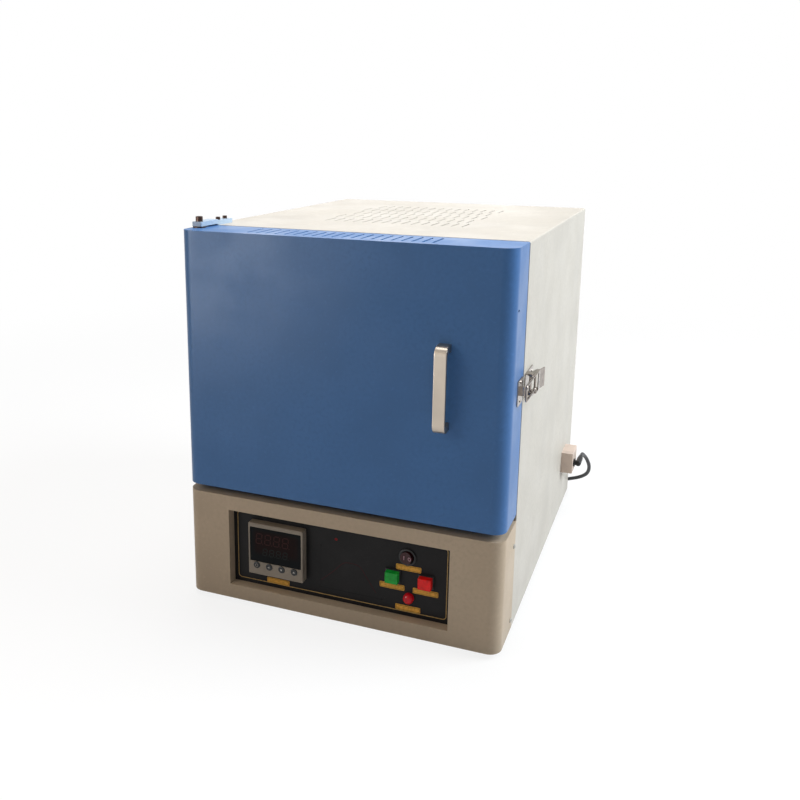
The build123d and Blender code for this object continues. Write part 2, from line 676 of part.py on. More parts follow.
with BuildPart() as power_rocker:
    with BuildSketch(up(ROCKER_Z - ROCKER_R, ROCKER_X, ROCKER_AXIS_Y)):
        with BuildLine():
            Polyline(
                (-ROCKER_R, ROCKER_FOOT),
                (-ROCKER_R, -ROCKER_RISE),
                (0, ROCKER_DISH - ROCKER_RISE),
                (ROCKER_R, -ROCKER_RISE),
                (ROCKER_R, ROCKER_FOOT),
                close=True,
            )
        make_face()
    extrude(amount=2 * ROCKER_R)
    with BuildSketch(front(PANEL_Y, ROCKER_X, ROCKER_Z)):
        Circle(ROCKER_R)
    extrude(amount=2 * ROCKER_RISE, both=True, mode=Mode.INTERSECT)
    with Locations(up(ROCKER_Z, ROCKER_X, ROCKER_AXIS_Y)):
        Cylinder(ROCKER_PIN_R, 2 * (ROCKER_R + ROCKER_PLAY + ROCKER_PIN_L * 0.8))
power_rocker.part = power_rocker.part.rotate(rocker_axis, -ROCKER_TILT)

# Start and stop buttons: square lenses that press into square collars
LENS_W = 20.4
LENS_H = 17.8
LENS_PROUD = 11.5
LENS_L = 13.0
LENS_PLAY = 0.25
LENS_TRAVEL = 3.0
COLLAR_BORDER = 2.0
COLLAR_T = 2.5
COLLAR_BODY_L = 26.0


def button_collar(x):
    """The collar and body of a square push button."""
    with BuildPart() as collar:
        with BuildSketch(front(PANEL_Y, x, BUTTON_Z)):
            RectangleRounded(LENS_W + 2 * COLLAR_BORDER, LENS_H + 2 * COLLAR_BORDER, 1.0)
        extrude(amount=COLLAR_T)
        with BuildSketch(front(PANEL_Y, x, BUTTON_Z)):
            Rectangle(*BUTTON_BODY)
        extrude(amount=-COLLAR_BODY_L)
        with BuildSketch(front(PANEL_Y - COLLAR_T, x, BUTTON_Z)):
            Rectangle(LENS_W + 2 * LENS_PLAY, LENS_H + 2 * LENS_PLAY)
        extrude(amount=-(COLLAR_T + LENS_L - LENS_PROUD + LENS_TRAVEL + 1), mode=Mode.SUBTRACT)
    return collar


def button_lens(x):
    """The coloured lens of a square push button."""
    with BuildPart() as lens:
        with BuildSketch(front(PANEL_Y - LENS_PROUD, x, BUTTON_Z)):
            Rectangle(LENS_W, LENS_H)
        extrude(amount=-LENS_L)
        fillet(lens.edges().filter_by(Axis.Y), 0.8)
        fillet(lens.faces().sort_by(Axis.Y)[0].edges(), 0.7)
    return lens


start_button_collar = button_collar(START_X)
stop_button_collar = button_collar(STOP_X)
start_button = button_lens(START_X)
stop_button = button_lens(STOP_X)

# Indicator lamp: a domed lens with its body behind the panel
LAMP_R = 8.2
LAMP_RISE = 9.5
LAMP_DOME = 5.5
LAMP_BODY_L = 22.0
with BuildPart() as indicator_lamp:
    with BuildSketch(front(PANEL_Y, LAMP_X, LAMP_Z)):
        Circle(LAMP_R)
    extrude(amount=LAMP_RISE)
    fillet(indicator_lamp.faces().sort_by(Axis.Y)[0].edges(), LAMP_DOME)
    with BuildSketch(front(PANEL_Y, LAMP_X, LAMP_Z)):
        Circle(LAMP_BODY_R)
    extrude(amount=-LAMP_BODY_L)

# Electronics on the tray: contactor, and a solid state relay on its heat sink
CONTACTOR = (45.0, 80.0, 76.0)
CONTACTOR_AT = (-110.0, 300.0)
CONTACTOR_STEP = 14.0
with BuildPart() as contactor:
    x, y = CONTACTOR_AT
    x_ends = (x - CONTACTOR[0] / 2, x + CONTACTOR[0] / 2)
    block(x_ends, (y - CONTACTOR[1] / 2, y + CONTACTOR[1] / 2), (SHEET, SHEET + CONTACTOR[2] * 0.6))
    block(
        x_ends,
        (y - CONTACTOR[1] / 2 + CONTACTOR_STEP, y + CONTACTOR[1] / 2 - CONTACTOR_STEP),
        (SHEET + CONTACTOR[2] * 0.6, SHEET + CONTACTOR[2]),
    )

SINK = (100.0, 110.0, 50.0)
SINK_AT = (30.0, 300.0)
SINK_BASE = 8.0
SINK_FINS = 9
SINK_FIN_T = 2.4
with BuildPart() as heat_sink:
    x, y = SINK_AT
    y_ends = (y - SINK[1] / 2, y + SINK[1] / 2)
    fin_pitch = (SINK[0] - SINK_FIN_T) / (SINK_FINS - 1)
    block((x - SINK[0] / 2, x + SINK[0] / 2), y_ends, (SHEET + SINK[2] - SINK_BASE, SHEET + SINK[2]))
    for k in range(SINK_FINS):
        fin_x = x - SINK[0] / 2 + k * fin_pitch
        block((fin_x, fin_x + SINK_FIN_T), y_ends, (SHEET, SHEET + SINK[2] - SINK_BASE))

RELAY = (45.0, 58.0, 23.0)
with BuildPart() as solid_state_relay:
    x, y = SINK_AT
    block(
        (x - RELAY[0] / 2, x + RELAY[0] / 2),
        (y - RELAY[1] / 2, y + RELAY[1] / 2),
        (SHEET + SINK[2], SHEET + SINK[2] + RELAY[2]),
    )
    fillet(solid_state_relay.edges().filter_by(Axis.Z), 4.0)

# Cooling fan: housing with four struts, rotor on its shaft, and the guard outside
FAN_Y0 = REAR - SHEET - FAN_DEPTH
STATOR_R = 19.0
STATOR_T = 5.0
STRUT_W = 7.0
SHAFT_R = 2.0
SHAFT_PLAY = 0.05
ROTOR_HUB_R = 18.0
ROTOR_GAP = 1.0
ROTOR_L = 15.0
BLADE_COUNT = 7
BLADE_TIP_R = 54.5
BLADE_T = 1.6
BLADE_LEAN = 38.0
with BuildPart() as fan_housing:
    with BuildSketch(back(FAN_Y0, FAN_X, FAN_Z)):
        RectangleRounded(FAN_SIZE, FAN_SIZE, 5.0)
        Circle(FAN_BORE_R, mode=Mode.SUBTRACT)
    extrude(amount=FAN_DEPTH)
    with BuildSketch(back(FAN_Y0, FAN_X, FAN_Z)):
        Circle(STATOR_R)
        Rectangle(2 * FAN_BORE_R + 2, STRUT_W)
        Rectangle(STRUT_W, 2 * FAN_BORE_R + 2)
    extrude(amount=STATOR_T)
    with BuildSketch(back(FAN_Y0, FAN_X, FAN_Z)):
        Circle(SHAFT_R + SHAFT_PLAY)
    extrude(amount=STATOR_T, mode=Mode.SUBTRACT)
    screw_holes(guard_screws)

ROTOR_Y = FAN_Y0 + STATOR_T + ROTOR_GAP
with BuildPart() as fan_rotor:
    with BuildSketch(back(ROTOR_Y, FAN_X, FAN_Z)):
        Circle(ROTOR_HUB_R)
    extrude(amount=ROTOR_L)
    fillet(fan_rotor.faces().sort_by(Axis.Y)[-1].edges(), 2.0)
    with BuildSketch(back(FAN_Y0 + 1, FAN_X, FAN_Z)):
        Circle(SHAFT_R)
    extrude(amount=STATOR_T + ROTOR_GAP)
    for k in range(BLADE_COUNT):
        spin = 360.0 / BLADE_COUNT * k
        hub_plane = Plane(
            (X_MID + FAN_X, Y_FRONT + ROTOR_Y + ROTOR_L / 2, Z_BOTTOM + FAN_Z),
            x_dir=(0, 1, 0),
            z_dir=(cos(radians(spin)), 0, sin(radians(spin))),
        )
        with BuildSketch(hub_plane.offset(ROTOR_HUB_R * 0.8)):
            Rectangle(ROTOR_L * 1.05, BLADE_T, rotation=BLADE_LEAN)
        with BuildSketch(hub_plane.offset(BLADE_TIP_R - 1)):
            Rectangle(ROTOR_L * 1.15, BLADE_T, rotation=BLADE_LEAN * 1.35)
        loft()

GUARD_RINGS = 4
GUARD_WIRE = 2.6
with BuildPart() as fan_guard:
    with BuildSketch(back(REAR, FAN_X, FAN_Z)):
        for k in range(GUARD_RINGS):
            ring_r = FAN_BORE_R - k * FAN_BORE_R / (GUARD_RINGS + 0.5)
            Circle(ring_r)
            Circle(ring_r - GUARD_WIRE, mode=Mode.SUBTRACT)
        for turn in (45, 135):
            Rectangle(FAN_SCREW_PITCH * 2**0.5, GUARD_WIRE, rotation=turn)
        with GridLocations(FAN_SCREW_PITCH, FAN_SCREW_PITCH, 2, 2):
            Circle(2 * SCREW_R + 1)
    extrude(amount=GUARD_T)
    screw_holes(guard_screws)

# Cable box: a folded cover on the right side near the rear
BOX_X1 = HALF + BOX_PROUD
GLAND_Y = BOX_Y + 14.0
GLAND_Z = BOX_Z - 1.5
GLAND_SHANK_R = 5.0
with BuildPart() as cable_box:
    block((HALF, BOX_X1), (BOX_Y, BOX_Y + BOX_DEPTH), (BOX_Z - BOX_H / 2, BOX_Z + BOX_H / 2))
    fillet(cable_box.faces().sort_by(Axis.X)[-1].edges(), SHEET)
    block(
        (HALF - 1, BOX_X1 - SHEET),
        (BOX_Y + SHEET, BOX_Y + BOX_DEPTH - SHEET),
        (BOX_Z - BOX_H / 2 + SHEET, BOX_Z + BOX_H / 2 - SHEET),
        mode=Mode.SUBTRACT,
    )
    with Locations(side(BOX_X1, GLAND_Y, GLAND_Z)):
        Cylinder(GLAND_SHANK_R + FIT, 4 * SHEET, mode=Mode.SUBTRACT)

# Cable gland: an elbow out of the box that points to the rear, with a tapered end
GLAND_X = BOX_X1 + GLAND_SEAT + GLAND_R
GLAND_BODY_L = 24.0
GLAND_TAPER_L = 14.0
GLAND_END_R = CORD_D / 2 + 0.6
GLAND_NUT_R = 8.0
GLAND_NUT_T = 3.2
GLAND_END_Y = GLAND_Y + GLAND_BODY_L + GLAND_TAPER_L
with BuildPart() as cable_gland:
    with BuildSketch(up(GLAND_Z, GLAND_X, GLAND_Y)):
        with BuildLine():
            Polyline(
                (0, -GLAND_R),
                (GLAND_R, -GLAND_R),
                (GLAND_R, GLAND_BODY_L),
                (GLAND_END_R, GLAND_BODY_L + GLAND_TAPER_L),
                (0, GLAND_BODY_L + GLAND_TAPER_L),
                close=True,
            )
        make_face()
    revolve(axis=Axis((X_MID + GLAND_X, Y_FRONT + GLAND_Y, Z_BOTTOM + GLAND_Z), (0, 1, 0)))
    fillet(cable_gland.edges().sort_by(Axis.Y)[0], GLAND_R / 2)
    with BuildSketch(side(BOX_X1 - SHEET - 2, GLAND_Y, GLAND_Z)):
        Circle(GLAND_SHANK_R)
    extrude(amount=SHEET + 2 + GLAND_SEAT + GLAND_R)
    with BuildSketch(side(BOX_X1, GLAND_Y, GLAND_Z)):
        RegularPolygon(GLAND_NUT_R, 6)
    extrude(amount=GLAND_NUT_T)

# Mains cord: the route from the gland, round the rear edge and down to its coil
CORD_R = CORD_D / 2
FLOOR = -FOOT_H
COIL_ACROSS = 3
COIL_LAYERS = 2
COIL_MIDDLE_R = 5.5 * CORD_D
COIL_IN_R = COIL_MIDDLE_R - COIL_ACROSS * CORD_R
COIL_OUT_R = COIL_MIDDLE_R + COIL_ACROSS * CORD_R
COIL_TURN_R = COIL_OUT_R - CORD_R
COIL_X = GLAND_X - 139.0
COIL_LEAD = 30.0
LEAD_Y = REAR + 30.0
COIL_Y = LEAD_Y + COIL_TURN_R
CORD_RUN = LEAD_Y - GLAND_END_Y
cord_route = [
    (GLAND_X, GLAND_END_Y, GLAND_Z),
    (GLAND_X, GLAND_END_Y + 0.162 * CORD_RUN, GLAND_Z),
    (GLAND_X + 0.5, GLAND_END_Y + 0.333 * CORD_RUN, GLAND_Z - 7),
    (GLAND_X + 7, GLAND_END_Y + 0.495 * CORD_RUN, GLAND_Z - 22),
    (GLAND_X + 12.5, GLAND_END_Y + 0.61 * CORD_RUN, GLAND_Z - 43),
    (GLAND_X + 8, GLAND_END_Y + 0.724 * CORD_RUN, GLAND_Z - 64),
    (GLAND_X - 9, GLAND_END_Y + 0.829 * CORD_RUN, GLAND_Z - 79),
    (GLAND_X - 31, GLAND_END_Y + 0.905 * CORD_RUN, GLAND_Z - 89),
    (GLAND_X - 53, GLAND_END_Y + 0.962 * CORD_RUN, 5),
    (GLAND_X - 74, LEAD_Y - 1, -2),
    (GLAND_X - 93, LEAD_Y, FLOOR + CORD_R),
    (COIL_X + COIL_LEAD, LEAD_Y, FLOOR + CORD_R),
]
cord_points = [Vector(X_MID + x, Y_FRONT + y, Z_BOTTOM + z) for x, y, z in cord_route]


def corner_radii(points):
    """The largest arc at each corner of a route that leaves a tenth of its shorter run straight."""
    radii = []
    for before, here, after in zip(points, points[1:], points[2:]):
        turn = (here - before).get_angle(after - here)
        shorter = min((here - before).length, (after - here).length)
        radii.append(0.45 * shorter / tan(radians(turn / 2)))
    return radii


cord_radii = corner_radii(cord_points)
print("cord corner radii:", [round(r, 1) for r in cord_radii])
with BuildPart() as mains_cord:
    with BuildLine() as cord_path:
        FilletPolyline(*cord_points, radius=cord_radii)
    cord_wire = cord_path.wires()[0]
    with BuildSketch(Plane(cord_wire @ 0, z_dir=cord_wire % 0)):
        Circle(CORD_R)
    sweep(path=cord_wire)
print("cord length:", round(cord_wire.length, 1))
print("cord volume over section times length:", mains_cord.part.volume / (pi * CORD_R**2 * cord_wire.length))

# Mains cord coil: the outer shape of the turns, with a lead in below and a lead out above
with BuildPart() as mains_cord_coil:
    for z, toward in ((FLOOR, 1), (FLOOR + (COIL_LAYERS - 1) * CORD_D, -1)):
        with BuildSketch(up(z, COIL_X, COIL_Y)):
            Circle(COIL_OUT_R)
            with Locations((toward * COIL_LEAD / 2, -COIL_TURN_R)):
                Rectangle(COIL_LEAD, CORD_D)
            Circle(COIL_IN_R, mode=Mode.SUBTRACT)
        extrude(amount=CORD_D)

# Mains plug: a moulded body with a tapered relief and three flat pins
PLUG_BODY = (34.0, 2 * (COIL_LAYERS - 0.5) * CORD_D, 40.0)
PLUG_RELIEF_L = 25.0
PLUG_PIN = (6.3, 1.6, 18.0)
PLUG_Z = FLOOR + PLUG_BODY[1] / 2
plug_x = COIL_X - COIL_LEAD
with BuildPart() as mains_plug:
    with BuildSketch(left_side(plug_x, LEAD_Y, PLUG_Z)):
        Circle(CORD_R + 1)
    with BuildSketch(left_side(plug_x - PLUG_RELIEF_L, LEAD_Y, PLUG_Z)):
        Circle(PLUG_BODY[1] / 3)
    loft()
    with BuildSketch(left_side(plug_x - PLUG_RELIEF_L, LEAD_Y, PLUG_Z)):
        RectangleRounded(PLUG_BODY[0], PLUG_BODY[1], 7.0)
    extrude(amount=PLUG_BODY[2])
    fillet(mains_plug.faces().sort_by(Axis.X)[0].edges(), 1.5)
    with BuildSketch(left_side(plug_x - PLUG_RELIEF_L - PLUG_BODY[2], LEAD_Y, PLUG_Z)):
        with Locations((0, 6)):
            Rectangle(PLUG_PIN[1], PLUG_PIN[0])
        with Locations((-8, -4)):
            Rectangle(PLUG_PIN[1], PLUG_PIN[0], rotation=-30)
        with Locations((8, -4)):
            Rectangle(PLUG_PIN[1], PLUG_PIN[0], rotation=30)
    extrude(amount=PLUG_PIN[2])

# Hinges: a strap over the door with a pivot bolt, a pin under it, and a flanged bush for each
PIVOT_R = 3.0
PIVOT_PLAY = 0.05
BUSH_R = 6.0
BUSH_L = 25.0
BUSH_FLANGE_R = 10.0
BUSH_FLANGE_T = 2.0
STRAP_W = 17.0
STRAP_T = 7.0
STRAP_FRONT = PIVOT_Y - 8.0
STRAP_REAR = 132.0
STRAP_Z0 = HEIGHT + BUSH_FLANGE_T + FIT
with BuildPart() as upper_hinge_strap:
    with BuildSketch(side(PIVOT_X - STRAP_W / 2)):
        with BuildLine():
            Polyline(
                (STRAP_FRONT, STRAP_Z0),
                (SEAM - 6, STRAP_Z0),
                (SEAM + 1, HEIGHT),
                (STRAP_REAR, HEIGHT),
                (STRAP_REAR, HEIGHT + STRAP_T),
                (SEAM + 4, HEIGHT + STRAP_T),
                (SEAM - 3, STRAP_Z0 + STRAP_T),
                (STRAP_FRONT, STRAP_Z0 + STRAP_T),
                close=True,
            )
        make_face()
    extrude(amount=STRAP_W)
    fillet(upper_hinge_strap.edges().filter_by(Axis.Z), 2.0)
    with Locations(up(HEIGHT, PIVOT_X, PIVOT_Y)):
        Cylinder(PIVOT_R + PIVOT_PLAY, 6 * STRAP_T, mode=Mode.SUBTRACT)
    screw_holes(strap_screws)

CAP_R = 3.6
CAP_H = 4.5
CAP_SOCKET = (1.6, 2.2)
with BuildPart() as hinge_screws:
    for y in STRAP_SCREW_Y:
        with BuildSketch(up(HEIGHT + STRAP_T, PIVOT_X, y)):
            Circle(CAP_R)
        extrude(amount=CAP_H)
        with BuildSketch(up(HEIGHT + STRAP_T + CAP_H, PIVOT_X, y)):
            RegularPolygon(CAP_SOCKET[0], 6)
        extrude(amount=-CAP_SOCKET[1], mode=Mode.SUBTRACT)
        with BuildSketch(up(HEIGHT + STRAP_T, PIVOT_X, y)):
            Circle(SCREW_R)
        extrude(amount=-(STRAP_T + 4 * SHEET))

BOLT_HEAD_R = 5.5
BOLT_HEAD_H = 8.0
BOLT_REACH = 20.0
with BuildPart() as pivot_bolt:
    with BuildSketch(up(STRAP_Z0 + STRAP_T, PIVOT_X, PIVOT_Y)):
        Circle(BOLT_HEAD_R)
    extrude(amount=BOLT_HEAD_H)
    fillet(pivot_bolt.faces().sort_by(Axis.Z)[-1].edges(), 0.8)
    with BuildSketch(up(STRAP_Z0 + STRAP_T + BOLT_HEAD_H, PIVOT_X, PIVOT_Y)):
        RegularPolygon(PIVOT_R, 6)
    extrude(amount=-BOLT_HEAD_H / 2, mode=Mode.SUBTRACT)
    with BuildSketch(up(STRAP_Z0 + STRAP_T, PIVOT_X, PIVOT_Y)):
        Circle(PIVOT_R)
    extrude(amount=-(STRAP_T + BUSH_FLANGE_T + FIT + BOLT_REACH))

with BuildPart() as lower_hinge_pin:
    with BuildSketch(up(BASE_H, PIVOT_X, PIVOT_Y)):
        Circle(BUSH_FLANGE_R - 1)
    extrude(amount=DOOR_LIFT - BUSH_FLANGE_T - FIT)
    with BuildSketch(up(DOOR_Z0 - BUSH_FLANGE_T - FIT, PIVOT_X, PIVOT_Y)):
        Circle(PIVOT_R)
    extrude(amount=BUSH_FLANGE_T + FIT + BOLT_REACH)
    chamfer(lower_hinge_pin.faces().sort_by(Axis.Z)[-1].edges(), 0.8)

with BuildPart() as hinge_bushes:
    for flange_z, barrel_z in ((HEIGHT, HEIGHT - BUSH_L), (DOOR_Z0 - BUSH_FLANGE_T, DOOR_Z0)):
        with BuildSketch(up(flange_z, PIVOT_X, PIVOT_Y)):
            Circle(BUSH_FLANGE_R)
            Circle(PIVOT_R + PIVOT_PLAY, mode=Mode.SUBTRACT)
        extrude(amount=BUSH_FLANGE_T)
        with BuildSketch(up(barrel_z, PIVOT_X, PIVOT_Y)):
            Circle(BUSH_R)
            Circle(PIVOT_R + PIVOT_PLAY, mode=Mode.SUBTRACT)
        extrude(amount=BUSH_L)

# Door shell: rounded upright edges, rear rim, vent slots in its top and bottom
DOOR_SLOT = (3.5, 52.0)
DOOR_SLOT_PITCH = 15.2
DOOR_SLOT_COUNT = 20
DOOR_SLOT_AT = (-6.0, 42.0)
SIDE_SLOT = (8.0, 3.5)
SIDE_SLOT_AT = (25.0, HEIGHT - 88.0)
HANDLE_SCREW_R = 2.5
HANDLE_STUD_L = 8.0
HANDLE_FOOT_PITCH = HANDLE_H - HANDLE_T - 6.0
handle_feet = [(HANDLE_X, HANDLE_Z + s * HANDLE_FOOT_PITCH / 2) for s in (-1, 1)]
with BuildPart() as door_shell:
    rounded_shell(HALF, 0, DOOR_DEPTH, DOOR_Z0, HEIGHT, CORNER_R)
    rounded_shell(
        HALF - SHEET,
        SHEET,
        DOOR_DEPTH - SHEET,
        DOOR_Z0 + SHEET,
        HEIGHT - SHEET,
        CORNER_R - SHEET,
        mode=Mode.SUBTRACT,
    )
    block(
        (-HALF + DOOR_RIM, HALF - DOOR_RIM),
        (DOOR_DEPTH - 2 * SHEET, DOOR_DEPTH + 1),
        (DOOR_Z0 + DOOR_RIM, HEIGHT - DOOR_RIM),
        mode=Mode.SUBTRACT,
    )
    with BuildSketch(up(DOOR_Z0)):
        with Locations(DOOR_SLOT_AT):
            with GridLocations(DOOR_SLOT_PITCH, 1, DOOR_SLOT_COUNT, 1):
                Rectangle(*DOOR_SLOT)
        with Locations((PIVOT_X, PIVOT_Y)):
            Circle(BUSH_R)
    extrude(amount=HEIGHT - DOOR_Z0, mode=Mode.SUBTRACT)
    with BuildSketch(side(HALF)):
        with Locations(SIDE_SLOT_AT):
            SlotOverall(*SIDE_SLOT)
    extrude(amount=-2 * SHEET, mode=Mode.SUBTRACT)
    with BuildSketch(front(0)):
        with Locations(*handle_feet):
            Circle(HANDLE_SCREW_R + SCREW_PLAY)
    extrude(amount=-2 * SHEET, mode=Mode.SUBTRACT)

# Door inner plate: closes the door's rear round the plug
PLATE_Y1 = DOOR_DEPTH - SHEET
PLATE_Y0 = PLATE_Y1 - DOOR_PLATE_T
PLUG_HALF = CHAMBER_X - PLUG_GAP
with BuildPart() as door_inner_plate:
    block(
        (-HALF + SHEET + FIT, HALF - SHEET - FIT),
        (PLATE_Y0, PLATE_Y1),
        (DOOR_Z0 + SHEET + FIT, HEIGHT - SHEET - FIT),
    )
    block(
        (-PLUG_HALF - FIT, PLUG_HALF + FIT),
        (PLATE_Y0 - 1, PLATE_Y1 + 1),
        (CHAMBER_Z - PLUG_HALF - FIT, CHAMBER_Z + PLUG_HALF + FIT),
        mode=Mode.SUBTRACT,
    )

# Door plug: the insulation in the door, with a tapered nose that closes the mouth
with BuildPart() as door_plug:
    block(
        (-PLUG_BASE / 2, PLUG_BASE / 2),
        (PLATE_Y0 - PLUG_BASE_T, PLATE_Y0),
        (CHAMBER_Z - PLUG_BASE / 2, CHAMBER_Z + PLUG_BASE / 2),
    )
    with BuildSketch(back(PLATE_Y0, z=CHAMBER_Z)):
        Rectangle(2 * PLUG_HALF, 2 * PLUG_HALF)
    with BuildSketch(back(DOOR_DEPTH + PLUG_REACH, z=CHAMBER_Z)):
        Rectangle(2 * (PLUG_HALF - PLUG_TAPER), 2 * (PLUG_HALF - PLUG_TAPER))
    loft()

# Door gasket: fibre rope round the plug, a hair from the front frame when shut
GASKET_IN = FRAME_MOUTH / 2 + 2.0
GASKET_OUT = GASKET_IN + GASKET_BAND
with BuildPart() as door_gasket:
    with BuildSketch(back(PLATE_Y1, z=CHAMBER_Z)):
        RectangleRounded(2 * GASKET_OUT, 2 * GASKET_OUT, GASKET_BAND)
        Rectangle(2 * GASKET_IN, 2 * GASKET_IN, mode=Mode.SUBTRACT)
    extrude(amount=SEAM - PLATE_Y1 - FIT)
    fillet(door_gasket.faces().sort_by(Axis.Y)[-1].edges(), 1.5)

# Door handle: a flat bow with rounded bends
with BuildPart() as door_handle:
    with BuildSketch(side(HANDLE_X - HANDLE_W / 2)):
        with BuildLine():
            half = HANDLE_H / 2
            outer = FilletPolyline(
                (0, HANDLE_Z - half),
                (-HANDLE_REACH, HANDLE_Z - half),
                (-HANDLE_REACH, HANDLE_Z + half),
                (0, HANDLE_Z + half),
                radius=HANDLE_R,
            )
            Line(outer @ 1, (0, HANDLE_Z + half - HANDLE_T - 6))
            inner = FilletPolyline(
                (0, HANDLE_Z + half - HANDLE_T - 6),
                (-HANDLE_REACH + HANDLE_T, HANDLE_Z + half - HANDLE_T - 2),
                (-HANDLE_REACH + HANDLE_T, HANDLE_Z - half + HANDLE_T + 2),
                (0, HANDLE_Z - half + HANDLE_T + 6),
                radius=HANDLE_R - HANDLE_T,
            )
            Line(inner @ 1, outer @ 0)
        make_face()
    extrude(amount=HANDLE_W)
    fillet(door_handle.edges().group_by(Axis.X)[0] + door_handle.edges().group_by(Axis.X)[-1], 1.2)
    with BuildSketch(back(0)):
        with Locations(*[(-x, z) for x, z in handle_feet]):
            Circle(HANDLE_SCREW_R)
    extrude(amount=HANDLE_STUD_L)

# Latch: a draw latch on the right side, its loop lying clear over the catch on the door
LATCH_Z = CHAMBER_Z + 9.0
PLATE_T = 1.5
LEVER_PIVOT = (100.0, 7.5)
LOOP_PIVOT = (114.0, 12.0)
WIRE_R = 1.75
LOOP_PIN_R = 1.5
LEVER_PIN_R = 2.0
PIN_PLAY = 0.05
EAR_T = 1.5
EAR_IN = 15.0
CHEEK_T = 1.5
CHEEK_OUT = EAR_IN - FIT
LOOP_HALF = CHEEK_OUT - CHEEK_T - FIT - WIRE_R
LOOP_BAR_Y = 47.0
LOOP_BEND = 4.5
BASE_PLATE_Y = (93.0, 150.0)
RIVET_R = 2.6
RIVET_H = 1.1


def latch_rivets(places):
    """Low domed rivet heads in the open part, at pairs of y and z on the latch's plates."""
    for y, z in places:
        with BuildSketch(side(HALF + PLATE_T, y, z)) as head:
            Circle(RIVET_R)
        extrude(head.sketch, amount=RIVET_H, taper=35)


with BuildPart() as latch_base:
    block(
        (HALF, HALF + PLATE_T), BASE_PLATE_Y, (LATCH_Z - EAR_IN - EAR_T, LATCH_Z + EAR_IN + EAR_T)
    )
    for z in (LATCH_Z - EAR_IN - EAR_T, LATCH_Z + EAR_IN):
        with BuildSketch(up(z, HALF)):
            with BuildLine():
                Polyline(
                    (0, BASE_PLATE_Y[0]),
                    (LEVER_PIVOT[1] + 4.5, BASE_PLATE_Y[0] + 3),
                    (LEVER_PIVOT[1] + 4.5, LEVER_PIVOT[0] + 4),
                    (0, LEVER_PIVOT[0] + 14),
                    close=True,
                )
            make_face()
        extrude(amount=EAR_T)
    with Locations(up(LATCH_Z, HALF + LEVER_PIVOT[1], LEVER_PIVOT[0])):
        Cylinder(LEVER_PIN_R, 2 * (EAR_IN + EAR_T))
    latch_rivets([(BASE_PLATE_Y[1] - 8, LATCH_Z + s * EAR_IN * 0.6) for s in (-1, 1)])

# Latch lever: two cheeks joined by a web that stops short of the loop's pivot
LEVER_TOP = LOOP_PIVOT[1] + WIRE_R + 0.6
LEVER_TIP_Y = 152.0
LEVER_BEND_Y = LEVER_TIP_Y - 17.0
LEVER_FLARE = 3.5
WEB_Y = LOOP_PIVOT[0] + 7.5
with BuildPart() as latch_lever:
    for z in (LATCH_Z - CHEEK_OUT, LATCH_Z + CHEEK_OUT - CHEEK_T):
        with BuildSketch(up(z, HALF)):
            with BuildLine():
                Polyline(
                    (LEVER_PIVOT[1] - 4, LEVER_PIVOT[0] - 3),
                    (LEVER_PIVOT[1] + 3, LEVER_PIVOT[0] - 4),
                    (LEVER_TOP + PLATE_T, LEVER_PIVOT[0] + 6),
                    (LEVER_TOP + PLATE_T, LEVER_BEND_Y),
                    (LEVER_TOP - 4, LEVER_BEND_Y),
                    (LEVER_PIVOT[1] - 4, LEVER_PIVOT[0] + 8),
                    close=True,
                )
            make_face()
        extrude(amount=CHEEK_T)
    with BuildSketch(up(LATCH_Z - CHEEK_OUT, HALF)):
        with BuildLine():
            Polyline(
                (LEVER_TOP, WEB_Y),
                (LEVER_TOP + PLATE_T, WEB_Y),
                (LEVER_TOP + PLATE_T, LEVER_BEND_Y),
                (LEVER_TOP + PLATE_T + LEVER_FLARE, LEVER_TIP_Y),
                (LEVER_TOP + LEVER_FLARE, LEVER_TIP_Y),
                (LEVER_TOP, LEVER_BEND_Y),
                close=True,
            )
        make_face()
    extrude(amount=2 * CHEEK_OUT)
    with Locations(up(LATCH_Z, HALF + LEVER_PIVOT[1], LEVER_PIVOT[0])):
        Cylinder(LEVER_PIN_R + PIN_PLAY, 4 * EAR_IN, mode=Mode.SUBTRACT)
    with Locations(up(LATCH_Z, HALF + LOOP_PIVOT[1], LOOP_PIVOT[0])):
        Cylinder(LOOP_PIN_R + PIN_PLAY, 4 * EAR_IN, mode=Mode.SUBTRACT)

# Latch loop: a closed wire loop, and the pin by which it turns in the lever
with BuildPart() as latch_loop:
    with BuildLine(side(HALF + LOOP_PIVOT[1])) as bail:
        FilletPolyline(
            (LOOP_PIVOT[0], LATCH_Z - LOOP_HALF),
            (LOOP_BAR_Y, LATCH_Z - LOOP_HALF),
            (LOOP_BAR_Y, LATCH_Z + LOOP_HALF),
            (LOOP_PIVOT[0], LATCH_Z + LOOP_HALF),
            radius=LOOP_BEND,
            close=True,
        )
    bail_wire = bail.wires()[0]
    with BuildSketch(Plane(bail_wire @ 0, z_dir=bail_wire % 0)):
        Circle(WIRE_R)
    sweep(path=bail_wire)
    with Locations(up(LATCH_Z, HALF + LOOP_PIVOT[1], LOOP_PIVOT[0])):
        Cylinder(LOOP_PIN_R, 2 * CHEEK_OUT)

